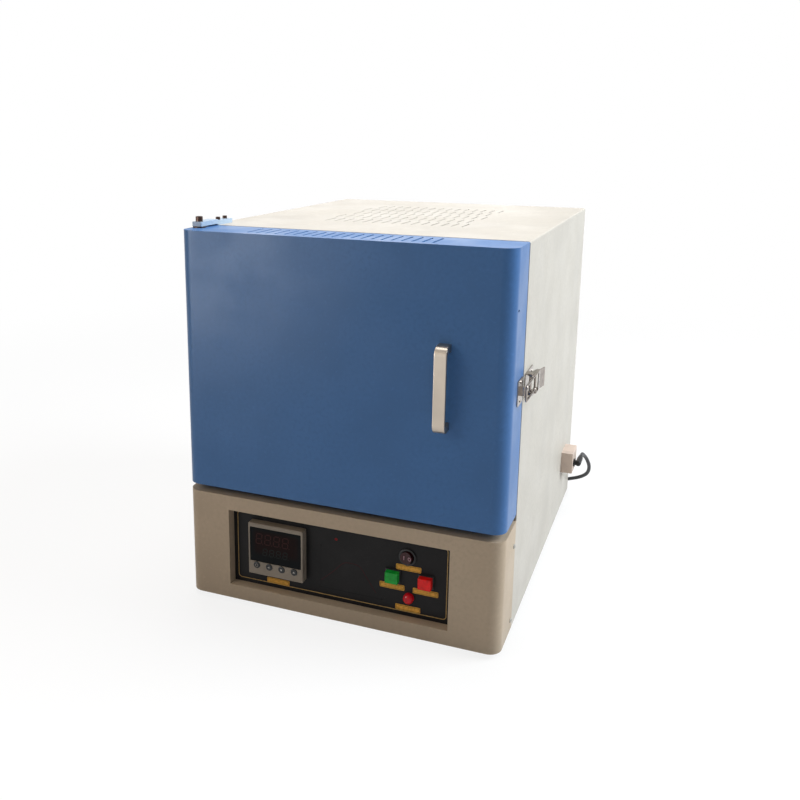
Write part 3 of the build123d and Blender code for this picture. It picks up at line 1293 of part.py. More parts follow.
# Latch catch: a plate on the door's side with a hook that the loop closes over
CATCH_Y = (40.0, 74.0)
CATCH_HALF = 19.0
HOOK_Y = 60.0
HOOK_HALF = LOOP_HALF - WIRE_R - 2.5
HOOK_TOP = LOOP_PIVOT[1] - WIRE_R - 1.6
HOOK_LIP = 5.0
with BuildPart() as latch_catch:
    block((HALF, HALF + PLATE_T), CATCH_Y, (LATCH_Z - CATCH_HALF, LATCH_Z + CATCH_HALF))
    fillet(latch_catch.edges().filter_by(Axis.X), 3.0)
    with BuildSketch(up(LATCH_Z - HOOK_HALF, HALF)):
        with BuildLine():
            Polyline(
                (PLATE_T, HOOK_Y),
                (HOOK_TOP, HOOK_Y),
                (HOOK_TOP, HOOK_Y - HOOK_LIP),
                (HOOK_TOP - PLATE_T, HOOK_Y - HOOK_LIP),
                (HOOK_TOP - PLATE_T, HOOK_Y - PLATE_T),
                (PLATE_T, HOOK_Y - PLATE_T),
                close=True,
            )
        make_face()
    extrude(amount=2 * HOOK_HALF)
    latch_rivets([(sum(CATCH_Y) / 2, LATCH_Z + s * (CATCH_HALF - 5)) for s in (-1, 1)])

pieces = {
    "base_tray": base_tray,
    "feet": feet,
    "base_deck": base_deck,
    "lower_front_panel": lower_front_panel,
    "outer_cover": outer_cover,
    "rear_panel": rear_panel,
    "front_frame": front_frame,
    "casing_screws": casing_screws,
    "inner_shell": inner_shell,
    "shell_rails": shell_rails,
    "insulation_floor": insulation_floor,
    "insulation_roof": insulation_roof,
    "insulation_left": insulation_left,
    "insulation_right": insulation_right,
    "insulation_rear": insulation_rear,
    "hearth_plate": hearth_plate,
    "heating_element_left": heating_element_left,
    "heating_element_right": heating_element_right,
    "element_insulators": element_insulators,
    "thermocouple": thermocouple,
    "thermocouple_head": thermocouple_head,
    "control_panel": control_panel,
    "controller_housing": controller_housing,
    "controller_window": controller_window,
    "rocker_housing": rocker_housing,
    "power_rocker": power_rocker,
    "start_button_collar": start_button_collar,
    "start_button": start_button,
    "stop_button_collar": stop_button_collar,
    "stop_button": stop_button,
    "indicator_lamp": indicator_lamp,
    "contactor": contactor,
    "heat_sink": heat_sink,
    "solid_state_relay": solid_state_relay,
    "fan_housing": fan_housing,
    "fan_rotor": fan_rotor,
    "fan_guard": fan_guard,
    "cable_box": cable_box,
    "cable_gland": cable_gland,
    "mains_cord": mains_cord,
    "mains_cord_coil": mains_cord_coil,
    "mains_plug": mains_plug,
    "upper_hinge_strap": upper_hinge_strap,
    "hinge_screws": hinge_screws,
    "pivot_bolt": pivot_bolt,
    "lower_hinge_pin": lower_hinge_pin,
    "latch_base": latch_base,
    "latch_lever": latch_lever,
    "latch_loop": latch_loop,
    "latch_catch": latch_catch,
    "door_shell": door_shell,
    "door_inner_plate": door_inner_plate,
    "door_plug": door_plug,
    "door_gasket": door_gasket,
    "door_handle": door_handle,
    "hinge_bushes": hinge_bushes,
}
for number, key in enumerate(controller_keys, start=1):
    pieces[f"controller_key_{number}"] = key

os.makedirs("parts", exist_ok=True)
for name, piece in pieces.items():
    piece.part.label = name
    export_step(piece.part, f"parts/{name}.step")
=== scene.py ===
"""Looks of a bench muffle furnace: a blue door over a cream base with a black control panel.

Lengths are written in millimetres in the cabinet's own coordinates, as in the part's source: x from the
cabinet's centre line, y back from the door's front, z above the cabinet's bottom. at() turns them into metres
in the shared frame.
"""
import json
import math

import bmesh
import bpy
from mathutils import Matrix, Vector
from mathutils.bvhtree import BVHTree


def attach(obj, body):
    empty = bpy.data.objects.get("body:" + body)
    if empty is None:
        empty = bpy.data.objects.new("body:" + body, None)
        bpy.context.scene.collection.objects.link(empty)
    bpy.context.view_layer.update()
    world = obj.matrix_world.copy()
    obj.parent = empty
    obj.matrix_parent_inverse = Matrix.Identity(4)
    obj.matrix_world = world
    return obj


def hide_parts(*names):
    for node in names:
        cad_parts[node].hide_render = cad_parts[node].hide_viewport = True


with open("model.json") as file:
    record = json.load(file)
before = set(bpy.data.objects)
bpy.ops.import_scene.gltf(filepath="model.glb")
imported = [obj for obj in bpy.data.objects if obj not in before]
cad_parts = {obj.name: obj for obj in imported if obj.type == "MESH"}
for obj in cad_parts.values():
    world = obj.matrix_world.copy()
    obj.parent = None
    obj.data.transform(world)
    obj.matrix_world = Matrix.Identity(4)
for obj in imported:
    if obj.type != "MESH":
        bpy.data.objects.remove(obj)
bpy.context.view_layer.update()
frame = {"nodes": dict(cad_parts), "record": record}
nodes = frame["nodes"]

MM = 0.001
X_MID = -17.65
Y_FRONT = -324.9
Z_BOTTOM = 9.0


def at(x, y, z):
    """A point of the cabinet's own coordinates, in metres in the shared frame."""
    return Vector(((x + X_MID) * MM, (y + Y_FRONT) * MM, (z + Z_BOTTOM) * MM))


# Camera: where the photograph was taken from
CAMERA_AT = (482.7221, -1148.1268, 753.4419)
CAMERA_YAW = -0.3753
CAMERA_PITCH = -0.2210
CAMERA_ROLL = -0.0079
FOCAL_PIXELS = 880.1591
CENTRE_PIXEL = (355.1628, 325.7216)
FRAME_PIXELS = 800
SENSOR = 36.0


def add_camera():
    """The camera, with the photograph's frame set by its lens and shift."""
    forward = Vector((
        math.sin(CAMERA_YAW) * math.cos(CAMERA_PITCH),
        math.cos(CAMERA_YAW) * math.cos(CAMERA_PITCH),
        math.sin(CAMERA_PITCH),
    ))
    level_right = Vector((math.cos(CAMERA_YAW), -math.sin(CAMERA_YAW), 0))
    level_down = forward.cross(level_right)
    right = math.cos(CAMERA_ROLL) * level_right + math.sin(CAMERA_ROLL) * level_down
    down = -math.sin(CAMERA_ROLL) * level_right + math.cos(CAMERA_ROLL) * level_down
    camera = bpy.data.objects.new("camera", bpy.data.cameras.new("camera"))
    bpy.context.scene.collection.objects.link(camera)
    turn = Matrix((right, -down, -forward)).transposed().to_4x4()
    camera.matrix_world = Matrix.Translation(at(*CAMERA_AT)) @ turn
    camera.data.sensor_width = SENSOR
    camera.data.lens = SENSOR * FOCAL_PIXELS / FRAME_PIXELS
    camera.data.shift_x = (FRAME_PIXELS / 2 - CENTRE_PIXEL[0]) / FRAME_PIXELS
    camera.data.shift_y = (CENTRE_PIXEL[1] - FRAME_PIXELS / 2) / FRAME_PIXELS
    camera.data.clip_start = 0.01
    bpy.context.scene.camera = camera


add_camera()


# Colours are written as sRGB values from 0 to 255
def linear(colour):
    """The linear value of an sRGB colour, with alpha."""
    parts = [c / 255 for c in colour]
    return [p / 12.92 if p <= 0.04045 else ((p + 0.055) / 1.055) ** 2.4 for p in parts] + [1.0]


def scaled(colour, factor):
    """The colour made lighter or darker."""
    return [min(255.0, c * factor) for c in colour]


class Surface:
    """A material built up from a plain Principled shader."""

    def __init__(self, name, colour, roughness=0.5, metallic=0.0, **plain):
        self.material = bpy.data.materials.new(name)
        self.material.use_nodes = True
        self.tree = self.material.node_tree
        self.shader = self.tree.nodes["Principled BSDF"]
        self.colour = colour
        self.roughness = roughness
        self.shader.inputs["Base Color"].default_value = linear(colour)
        self.shader.inputs["Roughness"].default_value = roughness
        self.shader.inputs["Metallic"].default_value = metallic
        for socket, value in plain.items():
            self.shader.inputs[socket.replace("_", " ")].default_value = value
        self.place = self.tree.nodes.new("ShaderNodeTexCoord").outputs["Object"]
        self.paint = None
        self.height = None

    def link(self, source, target):
        self.tree.links.new(source, target)

    def stretched(self, scale):
        """The place on the object, stretched by a scale along each axis."""
        mapping = self.tree.nodes.new("ShaderNodeMapping")
        mapping.inputs["Scale"].default_value = scale
        self.link(self.place, mapping.inputs["Vector"])
        return mapping.outputs["Vector"]

    def noise(self, scale, detail=3.0, stretch=(1, 1, 1), distortion=0.0):
        """Noise from 0 to 1; scale is in features per metre."""
        texture = self.tree.nodes.new("ShaderNodeTexNoise")
        texture.inputs["Scale"].default_value = scale
        texture.inputs["Detail"].default_value = detail
        texture.inputs["Distortion"].default_value = distortion
        self.link(self.stretched(stretch), texture.inputs["Vector"])
        return texture.outputs["Fac"]

    def voronoi(self, scale, stretch=(1, 1, 1)):
        """Distance to the nearest of scattered points."""
        texture = self.tree.nodes.new("ShaderNodeTexVoronoi")
        texture.inputs["Scale"].default_value = scale
        self.link(self.stretched(stretch), texture.inputs["Vector"])
        return texture.outputs["Distance"]

    def axis(self, axis, low, high):
        """0 at one place along an axis and 1 at another, in metres, smooth between."""
        split = self.tree.nodes.new("ShaderNodeSeparateXYZ")
        self.link(self.place, split.inputs[0])
        return self.between(split.outputs[axis], low, high)

    def between(self, value, low, high, to_low=0.0, to_high=1.0):
        """The value carried from one range to another and held there."""
        ramp = self.tree.nodes.new("ShaderNodeMapRange")
        ramp.interpolation_type = "SMOOTHSTEP"
        ramp.inputs["From Min"].default_value = low
        ramp.inputs["From Max"].default_value = high
        ramp.inputs["To Min"].default_value = to_low
        ramp.inputs["To Max"].default_value = to_high
        self.link(value, ramp.inputs["Value"])
        return ramp.outputs["Result"]

    def times(self, first, second):
        """The product of two values, the second a socket or a number."""
        product = self.tree.nodes.new("ShaderNodeMath")
        product.operation = "MULTIPLY"
        self.link(first, product.inputs[0])
        if isinstance(second, (int, float)):
            product.inputs[1].default_value = second
        else:
            self.link(second, product.inputs[1])
        return product.outputs[0]

    def tint(self, amount, colour):
        """Paints another colour over what is there, by an amount from 0 to 1."""
        mix = self.tree.nodes.new("ShaderNodeMix")
        mix.data_type = "RGBA"
        self.link(amount, mix.inputs[0])
        if self.paint is None:
            mix.inputs[6].default_value = linear(self.colour)
        else:
            self.link(self.paint, mix.inputs[6])
        mix.inputs[7].default_value = linear(colour)
        self.paint = mix.outputs[2]
        self.link(self.paint, self.shader.inputs["Base Color"])
        return self

    def mottle(self, scale, darker, lighter=None, detail=4.0, stretch=(1, 1, 1)):
        """Soft patches of a darker and a lighter shade of the colour."""
        cloud = self.noise(scale, detail, stretch)
        self.tint(self.between(cloud, 0.45, 0.7), scaled(self.colour, darker))
        if lighter:
            self.tint(self.between(cloud, 0.45, 0.25), scaled(self.colour, lighter))
        return self

    def uneven_gloss(self, scale, spread, detail=4.0, stretch=(1, 1, 1)):
        """Roughness that varies by the spread either way."""
        cloud = self.noise(scale, detail, stretch)
        low = max(0.02, self.roughness - spread)
        uneven = self.between(cloud, 0.3, 0.7, low, self.roughness + spread)
        self.link(uneven, self.shader.inputs["Roughness"])
        return self

    def bump(self, value, depth, strength=1.0):
        """Raises the surface by a value; depth is in millimetres."""
        raised = self.tree.nodes.new("ShaderNodeBump")
        raised.inputs["Distance"].default_value = depth * MM
        raised.inputs["Strength"].default_value = strength
        self.link(value, raised.inputs["Height"])
        if self.height is not None:
            self.link(self.height, raised.inputs["Normal"])
        self.height = raised.outputs["Normal"]
        self.link(self.height, self.shader.inputs["Normal"])
        return self


CREAM = (199, 193, 183)
# Beige of the base's front panel: warmer than the cover's cream, and also darker than its lit side, as painted shade
# for the shadow on the front face
SHADED_BASE_CREAM = (192, 173, 150)
DOOR_BLUE = (74, 118, 174)
DUST = (150, 140, 126)


def sprayed_metal(name, colour, roughness, dust_height=0.0):
    """Baked spray paint: fine orange peel, faint clouding, small specks and dust low down."""
    made = Surface(name, colour, roughness, Specular_IOR_Level=0.2)
    made.mottle(9.0, 0.96, 1.03, detail=5.0)
    made.mottle(160.0, 0.975, 1.02, detail=3.0)
    speck = made.voronoi(260.0)
    rare = made.between(made.noise(34.0, 2.0), 0.62, 0.74)
    made.tint(made.times(made.between(speck, 0.10, 0.05), rare), scaled(colour, 0.72))
    if dust_height:
        low = made.axis("Z", dust_height, 0.0)
        made.tint(made.times(made.times(low, made.noise(24.0, 6.0)), 0.35), DUST)
    made.uneven_gloss(14.0, 0.06)
    made.bump(made.noise(520.0, 2.0), 0.05)
    made.bump(made.noise(26.0, 2.0), 0.25, 0.35)
    return made.material


def cast_rubber(name, colour, roughness=0.62):
    """Moulded rubber or soft plastic with a fine grain and grey scuffs."""
    made = Surface(name, colour, roughness)
    made.mottle(60.0, 0.85, 1.15)
    scuffed = made.between(made.noise(90.0, 6.0, (1, 1, 3)), 0.6, 0.75)
    made.tint(made.times(scuffed, 0.3), scaled(colour, 1.9))
    made.uneven_gloss(70.0, 0.1)
    made.bump(made.noise(1500.0, 2.0), 0.03)
    return made.material


def moulded_plastic(name, colour, roughness=0.42, grain=1400.0):
    """Moulded plastic: a fine spark texture with slightly uneven gloss."""
    made = Surface(name, colour, roughness, Specular_IOR_Level=0.3)
    made.mottle(45.0, 0.93, 1.05)
    made.uneven_gloss(120.0, 0.07)
    made.bump(made.noise(grain, 2.0), 0.02)
    return made.material


def sheet_metal(name, colour, roughness=0.38, stretch=(1, 1, 18)):
    """Rolled or plated steel: faint grain along one way, smudges and spangle."""
    made = Surface(name, colour, roughness, metallic=1.0)
    made.mottle(30.0, 0.86, 1.08, detail=6.0)
    grain = made.noise(220.0, 3.0, stretch)
    made.tint(made.times(made.between(grain, 0.4, 0.7), 0.25), scaled(colour, 0.8))
    made.uneven_gloss(40.0, 0.1)
    made.bump(grain, 0.01)
    return made.material


def polished_metal(name, colour, roughness):
    """Plated or polished metal with fine scratches and fingerprints."""
    made = Surface(name, colour, roughness, metallic=1.0)
    made.mottle(120.0, 0.86, 1.05)
    scratch = made.noise(900.0, 2.0, (1, 14, 1))
    made.uneven_gloss(180.0, 0.08)
    made.bump(scratch, 0.006)
    return made.material


def satin_metal(name, colour, roughness):
    """Blasted and anodised metal: a very fine even grain with soft handling marks."""
    made = Surface(name, colour, roughness, metallic=1.0)
    made.mottle(14.0, 0.96, 1.02)
    made.uneven_gloss(60.0, 0.05)
    made.bump(made.noise(2200.0, 2.0), 0.006)
    return made.material


def fibre(name, colour, warm):
    """Pressed ceramic fibre: matted strands, pits and a warm tone from the heat."""
    made = Surface(name, colour, 0.95)
    strands = made.noise(300.0, 6.0, (1, 3.5, 1), distortion=1.4)
    crossed = made.noise(260.0, 6.0, (3.2, 1, 1), distortion=1.1)
    made.mottle(18.0, 0.93, 1.02, detail=6.0)
    made.tint(made.times(made.between(strands, 0.55, 0.75), 0.5), scaled(colour, 0.82))
    made.tint(made.times(made.noise(40.0, 5.0), 0.3), warm)
    pits = made.between(made.voronoi(170.0), 0.16, 0.05)
    made.bump(strands, 0.35)
    made.bump(crossed, 0.25)
    made.bump(made.times(pits, -1.0), 0.4)
    return made.material


def lens_plastic(name, colour, glow):
    """A tinted lens: clear plastic over a coloured block, with a fine grain."""
    made = Surface(
        name,
        colour,
        0.22,
        Specular_IOR_Level=0.25,
        Emission_Strength=glow,
        Subsurface_Weight=0.15,
        Subsurface_Scale=0.002,
    )
    made.shader.inputs["Emission Color"].default_value = linear(colour)
    made.mottle(130.0, 0.82, 1.12)
    made.bump(made.noise(700.0, 2.0), 0.02)
    return made.material


def window_plastic(name):
    """Smoked display window: near black, brownish red behind the digits, glossy."""
    made = Surface(name, (16, 20, 22), 0.16, Specular_IOR_Level=0.06)
    made.mottle(22.0, 0.8, 1.35)
    from_left = made.axis("X", at(-148, 0, 0).x, at(-136, 0, 0).x)
    from_right = made.axis("X", at(-58, 0, 0).x, at(-72, 0, 0).x)
    from_below = made.axis("Z", at(0, 0, 80).z, at(0, 0, 94).z)
    from_above = made.axis("Z", at(0, 0, 130).z, at(0, 0, 120).z)
    warm = made.times(made.times(from_left, from_right), made.times(from_below, from_above))
    made.tint(made.times(warm, 0.75), (34, 14, 11))
    made.uneven_gloss(90.0, 0.05)
    made.bump(made.noise(900.0, 2.0), 0.004)
    return made.material


def heated_alloy(name):
    """Oxidised heating alloy: grey with darker and bluish patches."""
    made = Surface(name, (120, 116, 110), 0.55, metallic=0.8)
    made.mottle(60.0, 0.55, 1.2, detail=6.0)
    made.tint(made.times(made.noise(35.0, 4.0), 0.35), (92, 96, 112))
    made.bump(made.noise(1800.0, 3.0), 0.05)
    return made.material


def glazed_ceramic(name, colour):
    """Sintered ceramic: chalky, with pores and soft stains."""
    made = Surface(name, colour, 0.8)
    made.mottle(26.0, 0.9, 1.03, detail=6.0)
    made.tint(made.times(made.noise(45.0, 6.0), 0.25), (206, 182, 150))
    made.bump(made.between(made.voronoi(420.0), 0.2, 0.05), 0.12, -1.0)
    made.bump(made.noise(260.0, 4.0), 0.08)
    return made.material


def panel_foil(name):
    """The black polyester face of the control panel: satin, with a faint weave and dust."""
    made = Surface(name, (30, 29, 30), 0.4, Specular_IOR_Level=0.12)
    made.mottle(14.0, 0.8, 1.25, detail=5.0)
    made.tint(made.times(made.between(made.noise(800.0, 2.0), 0.62, 0.8), 0.25), (88, 84, 80))
    made.uneven_gloss(30.0, 0.07)
    made.bump(made.noise(1100.0, 2.0), 0.02)
    return made.material


finishes = {
    "cover_paint": sprayed_metal("cover_paint", CREAM, 0.42),
    "door_paint": sprayed_metal("door_paint", DOOR_BLUE, 0.36),
    "inner_sheet": sheet_metal("inner_sheet", (168, 170, 172)),
    "frame_paint": sprayed_metal("frame_paint", scaled(CREAM, 0.97), 0.45),
    "foot_rubber": cast_rubber("foot_rubber", (34, 33, 32)),
    "plated_steel": polished_metal("plated_steel", (176, 174, 168), 0.3),
    "fibre_board": fibre("fibre_board", (232, 228, 216), (196, 168, 128)),
    "gasket_rope": fibre("gasket_rope", (222, 216, 200), (178, 150, 112)),
    "hearth_ceramic": glazed_ceramic("hearth_ceramic", (222, 214, 198)),
    "element_alloy": heated_alloy("element_alloy"),
    "insulator_ceramic": glazed_ceramic("insulator_ceramic", (232, 228, 220)),
    "head_aluminium": sheet_metal("head_aluminium", (184, 186, 188), 0.45),
    "panel_black": panel_foil("panel_black"),
    "housing_black": moulded_plastic("housing_black", (40, 40, 41), 0.45),
    "window_dark": window_plastic("window_dark"),
    "key_grey": moulded_plastic("key_grey", (38, 40, 42), 0.4),
    "lens_green": lens_plastic("lens_green", (6, 150, 48), 0.12),
    "lens_red": lens_plastic("lens_red", (220, 16, 14), 0.12),
    "device_plastic": moulded_plastic("device_plastic", (206, 204, 196), 0.5),
    "box_paint": moulded_plastic("box_paint", (216, 196, 182), 0.5),
    "gland_plastic": moulded_plastic("gland_plastic", (30, 30, 31), 0.4),
    "cord_sheath": cast_rubber("cord_sheath", (66, 66, 69), 0.42),
    "hinge_steel": sprayed_metal("hinge_steel", (176, 196, 216), 0.4),
    "black_steel": polished_metal("black_steel", (72, 57, 51), 0.42),
    "latch_chrome": polished_metal("latch_chrome", (158, 149, 142), 0.17),
    "handle_metal": satin_metal("handle_metal", (180, 169, 156), 0.36),
}
# The base's front panel gets its own paint: a warmer beige that is partly its real tone and partly painted shade,
# darker to stand for the shadow on the front
shaded_base_paint = sprayed_metal("shaded_base_paint", SHADED_BASE_CREAM, 0.44, dust_height=0.05)
bezel_plastic = moulded_plastic("bezel_plastic", (146, 135, 122), 0.48)
lamp_plastic = lens_plastic("lamp_plastic", (196, 12, 30), 0.1)
rocker_plastic = lens_plastic("rocker_plastic", (60, 20, 24), 0.0)


def ink(name, colour, roughness=0.5):
    """A printed or painted mark: slightly uneven cover and a fine grain."""
    made = Surface(name, colour, roughness, Specular_IOR_Level=0.1)
    made.mottle(240.0, 0.85, 1.06, detail=5.0)
    made.uneven_gloss(300.0, 0.06)
    made.bump(made.noise(1600.0, 2.0), 0.01)
    return made.material


plate_yellow = ink("plate_yellow", (236, 178, 82), 0.4)
plate_ink = ink("plate_ink", (136, 92, 34))
border_ink = ink("border_ink", (190, 158, 104), 0.4)
curve_ink = ink("curve_ink", (58, 22, 26))
axis_ink = ink("axis_ink", (20, 20, 21))
dot_ink = ink("dot_ink", (120, 26, 30))
mark_grey = ink("mark_grey", (140, 134, 130))
mark_white = ink("mark_white", (214, 212, 208))
digit_red = ink("digit_red", (44, 12, 10), 0.4)
digit_green = ink("digit_green", (18, 25, 24), 0.4)
rocker_ink = ink("rocker_ink", (176, 140, 150))
tie_fabric = cast_rubber("tie_fabric", (26, 26, 28))

slot_of = {part["node"]: part["material_slot"] for part in frame["record"]["subparts"]}
special = {
    "lower_front_panel": shaded_base_paint,
    "controller_housing": bezel_plastic,
    "indicator_lamp": lamp_plastic,
    "power_rocker": rocker_plastic,
}
for name, node in nodes.items():
    finish = special.get(name, finishes[slot_of[name]])
    for material_slot in node.material_slots:
        material_slot.material = finish


# Shapes in mesh code
def add_piece(name, mesh, material, body, smooth=False):
    """A new object with a material, riding on a body."""
    piece = bpy.data.objects.new(name, mesh)
    bpy.context.scene.collection.objects.link(piece)
    mesh.materials.append(material)
    if smooth:
        mesh.shade_smooth()
    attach(piece, body)
    return piece


def mesh_from(name, shape):
    """A mesh from a bmesh, with its normals set outwards."""
    bmesh.ops.recalc_face_normals(shape, faces=shape.faces)
    mesh = bpy.data.meshes.new(name)
    shape.to_mesh(mesh)
    shape.free()
    return mesh


def rounded_outline(centre_x, centre_z, width, height, radius, steps=6):
    """A rounded rectangle as points of x and z."""
    points = []
    for corner, (sx, sz) in enumerate(((1, 1), (-1, 1), (-1, -1), (1, -1))):
        for k in range(steps + 1):
            angle = math.radians(90 * (corner + k / steps))
            points.append((
                centre_x + sx * (width / 2 - radius) + radius * math.cos(angle),
                centre_z + sz * (height / 2 - radius) + radius * math.sin(angle),
            ))
    return points


def ribbon_outline(line, width):
    """The outline of a line of an even width."""
    left, right = [], []
    for k, here in enumerate(line):
        before = Vector(line[max(0, k - 1)])
        after = Vector(line[min(len(line) - 1, k + 1)])
        along = (after - before).normalized()
        across = Vector((-along.y, along.x)) * width / 2
        left.append(tuple(Vector(here) + across))
        right.append(tuple(Vector(here) - across))
    return left + right[::-1]


def add_slabs(name, outlines, front_y, thickness, material, body, soften=0.0):
    """Thin flat shapes that face the front, with softened front edges."""
    shape = bmesh.new()
    for outline in outlines:
        front_ring = [shape.verts.new(at(x, front_y, z)) for x, z in outline]
        back_ring = [shape.verts.new(at(x, front_y + thickness, z)) for x, z in outline]
        shape.faces.new(front_ring)
        shape.faces.new(back_ring[::-1])
        for k in range(len(outline)):
            after = (k + 1) % len(outline)
            shape.faces.new((front_ring[k], front_ring[after], back_ring[after], back_ring[k]))
        if soften:
            rim = [shape.edges.get((front_ring[k - 1], front_ring[k])) for k in range(len(outline))]
            offset = soften * MM
            bmesh.ops.bevel(shape, geom=rim, offset=offset, segments=2, affect="EDGES", clamp_overlap=True)
    return add_piece(name, mesh_from(name, shape), material, body)


def add_frame_line(name, outer, inner, front_y, thickness, material, body):
    """A thin line between two outlines of as many points."""
    shape = bmesh.new()
    rings = []
    for outline in (outer, inner):
        for y in (front_y, front_y + thickness):
            rings.append([shape.verts.new(at(x, y, z)) for x, z in outline])
    outer_front, outer_back, inner_front, inner_back = rings
    for first, second in (
        (outer_front, inner_front),
        (outer_back, outer_front),
        (inner_front, inner_back),
        (inner_back, outer_back),
    ):
        for k in range(len(outer)):
            after = (k + 1) % len(outer)
            shape.faces.new((first[k], first[after], second[after], second[k]))
    return add_piece(name, mesh_from(name, shape), material, body)


def add_tube(name, lines, radius, sides, material, body):
    """Round bars that follow lines of points in metres, closed at their ends."""
    shape = bmesh.new()
    for line in lines:
        rings = []
        lift = None
        for k, here in enumerate(line):
            along = (line[min(k + 1, len(line) - 1)] - line[max(k - 1, 0)]).normalized()
            if lift is None:
                lift = along.orthogonal().normalized()
            lift = (lift - along * lift.dot(along)).normalized()
            across = along.cross(lift)
            ring = []
            for s in range(sides):
                angle = 2 * math.pi * s / sides
                outward = math.cos(angle) * lift + math.sin(angle) * across
                ring.append(shape.verts.new(here + radius * outward))
            rings.append(ring)
        for first, second in zip(rings, rings[1:]):
            for s in range(sides):
                after = (s + 1) % sides
                shape.faces.new((first[s], first[after], second[after], second[s]))
        shape.faces.new(rings[0][::-1])
        shape.faces.new(rings[-1])
    return add_piece(name, mesh_from(name, shape), material, body, smooth=True)


# Mains cord: the seen length down the right rear corner, then a coil behind the cabinet
CORD_D = 7.5
FLOOR_Z = -Z_BOTTOM
LOW_Z = FLOOR_Z + CORD_D / 2
TURN_GAP = 7.7
COIL_AT = (153.0, 750.75)
COIL_R = 48.7
TURN_POINTS = 16
TURNS = 5
LEAD_Y = COIL_AT[1] - COIL_R
CORD_EXIT = (292.0, 597.0, 103.0)
PLUG_END_X = 120.0
cord_route = [
    CORD_EXIT,
    (292, 614, 103),
    (292.5, 632, 96),
    (299, 649, 81),
    (304.5, 661, 60),
    (300, 673, 39),
    (283, 684, 24),
    (261, 692, 14),
    (239, 698, 5),
    (218, 701, -2),
    (199, LEAD_Y, LOW_Z),
    (183, LEAD_Y, LOW_Z),
    (166, LEAD_Y, LOW_Z),
]


def stepped(travel, steps):
    """A value that changes over given stretches of the coil, in degrees of travel."""
    value = steps[0][2]
    for start, end, first, last in steps:
        share = min(1.0, max(0.0, (travel - start) / (end - start)))
        value = value + (last - first) * share * share * (3 - 2 * share)
    return value


def coil_points():
    """Turns wound clockwise and inwards on the floor, then outwards on top of them."""
    inwards = [(290, 350, COIL_R, COIL_R - TURN_GAP), (650, 710, 0, -TURN_GAP)]
    outwards = [(1230, 1295, 0, TURN_GAP), (1590, 1655, 0, TURN_GAP)]
    climb = [(935, 1005, LOW_Z, LOW_Z + TURN_GAP)]
    even_out = 0.75 + 0.25 * math.cos(2 * math.pi / TURN_POINTS)
    points = []
    for k in range(1, TURNS * TURN_POINTS):
        travel = 360 * k / TURN_POINTS
        radius = stepped(travel, inwards + outwards) / even_out
        angle = math.radians(-90 - travel)
        points.append((
            COIL_AT[0] + radius * math.cos(angle),
            COIL_AT[1] + radius * math.sin(angle),
            stepped(travel, climb),
        ))
    return points


cord_end = [(x, LEAD_Y, LOW_Z + TURN_GAP) for x in (145, 132, PLUG_END_X)]
cord_points = cord_route + coil_points() + cord_end
cord_curve = bpy.data.curves.new("mains_lead", "CURVE")
cord_curve.dimensions = "3D"
cord_curve.bevel_depth = CORD_D / 2 * MM
cord_curve.bevel_resolution = 5
cord_curve.use_fill_caps = True
cord_curve.resolution_u = 6
spline = cord_curve.splines.new("NURBS")
spline.points.add(len(cord_points) - 1)
for point, (x, y, z) in zip(spline.points, cord_points):
    point.co = (*at(x, y, z), 1)
spline.order_u = 3
spline.use_endpoint_u = True
cord = bpy.data.objects.new("mains_lead", cord_curve)
bpy.context.scene.collection.objects.link(cord)
cord_curve.materials.append(finishes["cord_sheath"])
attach(cord, "cabinet")
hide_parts("mains_cord", "mains_cord_coil")

# Tie: a soft band round the turns at the coil's left
TIE_W = 11.0
TIE_T = 0.6
TIE_H = 2 * CORD_D + 1.0
TIE_CORNER = 3.2


def add_tie():
    """A flat band with rounded corners, wrapped round the coil's turns."""
    inner = COIL_R - 2 * TURN_GAP - CORD_D / 2
    outer = COIL_R + CORD_D / 2
    centre = ((inner + outer) / 2, FLOOR_Z + CORD_D)
    width = outer - inner + 2 * TIE_T
    loops = [
        rounded_outline(*centre, width, TIE_H, TIE_CORNER),
        rounded_outline(*centre, width - 2 * TIE_T, TIE_H - 2 * TIE_T, TIE_CORNER - 0.5),
    ]
    shape = bmesh.new()
    rings = []
    for loop in loops:
        for y in (-TIE_W / 2, TIE_W / 2):
            places = [at(COIL_AT[0] - u, COIL_AT[1] + y, max(z, FLOOR_Z)) for u, z in loop]
            rings.append([shape.verts.new(place) for place in places])
    for first, second in ((0, 1), (1, 3), (3, 2), (2, 0)):
        for k in range(len(loops[0])):
            after = (k + 1) % len(loops[0])
            shape.faces.new((rings[first][k], rings[first][after], rings[second][after], rings[second][k]))
    return add_piece("cord_tie", mesh_from("cord_tie", shape), tie_fabric, "cabinet", smooth=True)


add_tie()

# Printing on the control panel: blank name plates, the border line, and the heating curve
PANEL_Y = 17.0
INK = 0.12
PLATE_T = 0.6
PLATE_W = 40.0
PLATE_H = 9.0
PLATE_CORNER = 1.6
RIM_INSET = 1.1
RIM_LINE = 0.5
plate_places = {
    "plate_power": (113.8, 103.9),
    "plate_start": (87.8, 69.5),
    "plate_stop": (141.4, 69.2),
    "plate_lamp": (113.8, 37.0),
    "plate_controller": (-106.5, 36.1),
}
for name, place in plate_places.items():
    outline = rounded_outline(*place, PLATE_W, PLATE_H, PLATE_CORNER)
    add_slabs(name, [outline], PANEL_Y - PLATE_T, PLATE_T, plate_yellow, "cabinet", soften=0.25)
    rim, inside = [
        rounded_outline(*place, PLATE_W - 2 * inset, PLATE_H - 2 * inset, corner)
        for inset, corner in ((RIM_INSET, 1.0), (RIM_INSET + RIM_LINE, 0.6))
    ]
    add_frame_line(name + "_line", rim, inside, PANEL_Y - PLATE_T - INK, INK, plate_ink, "cabinet")

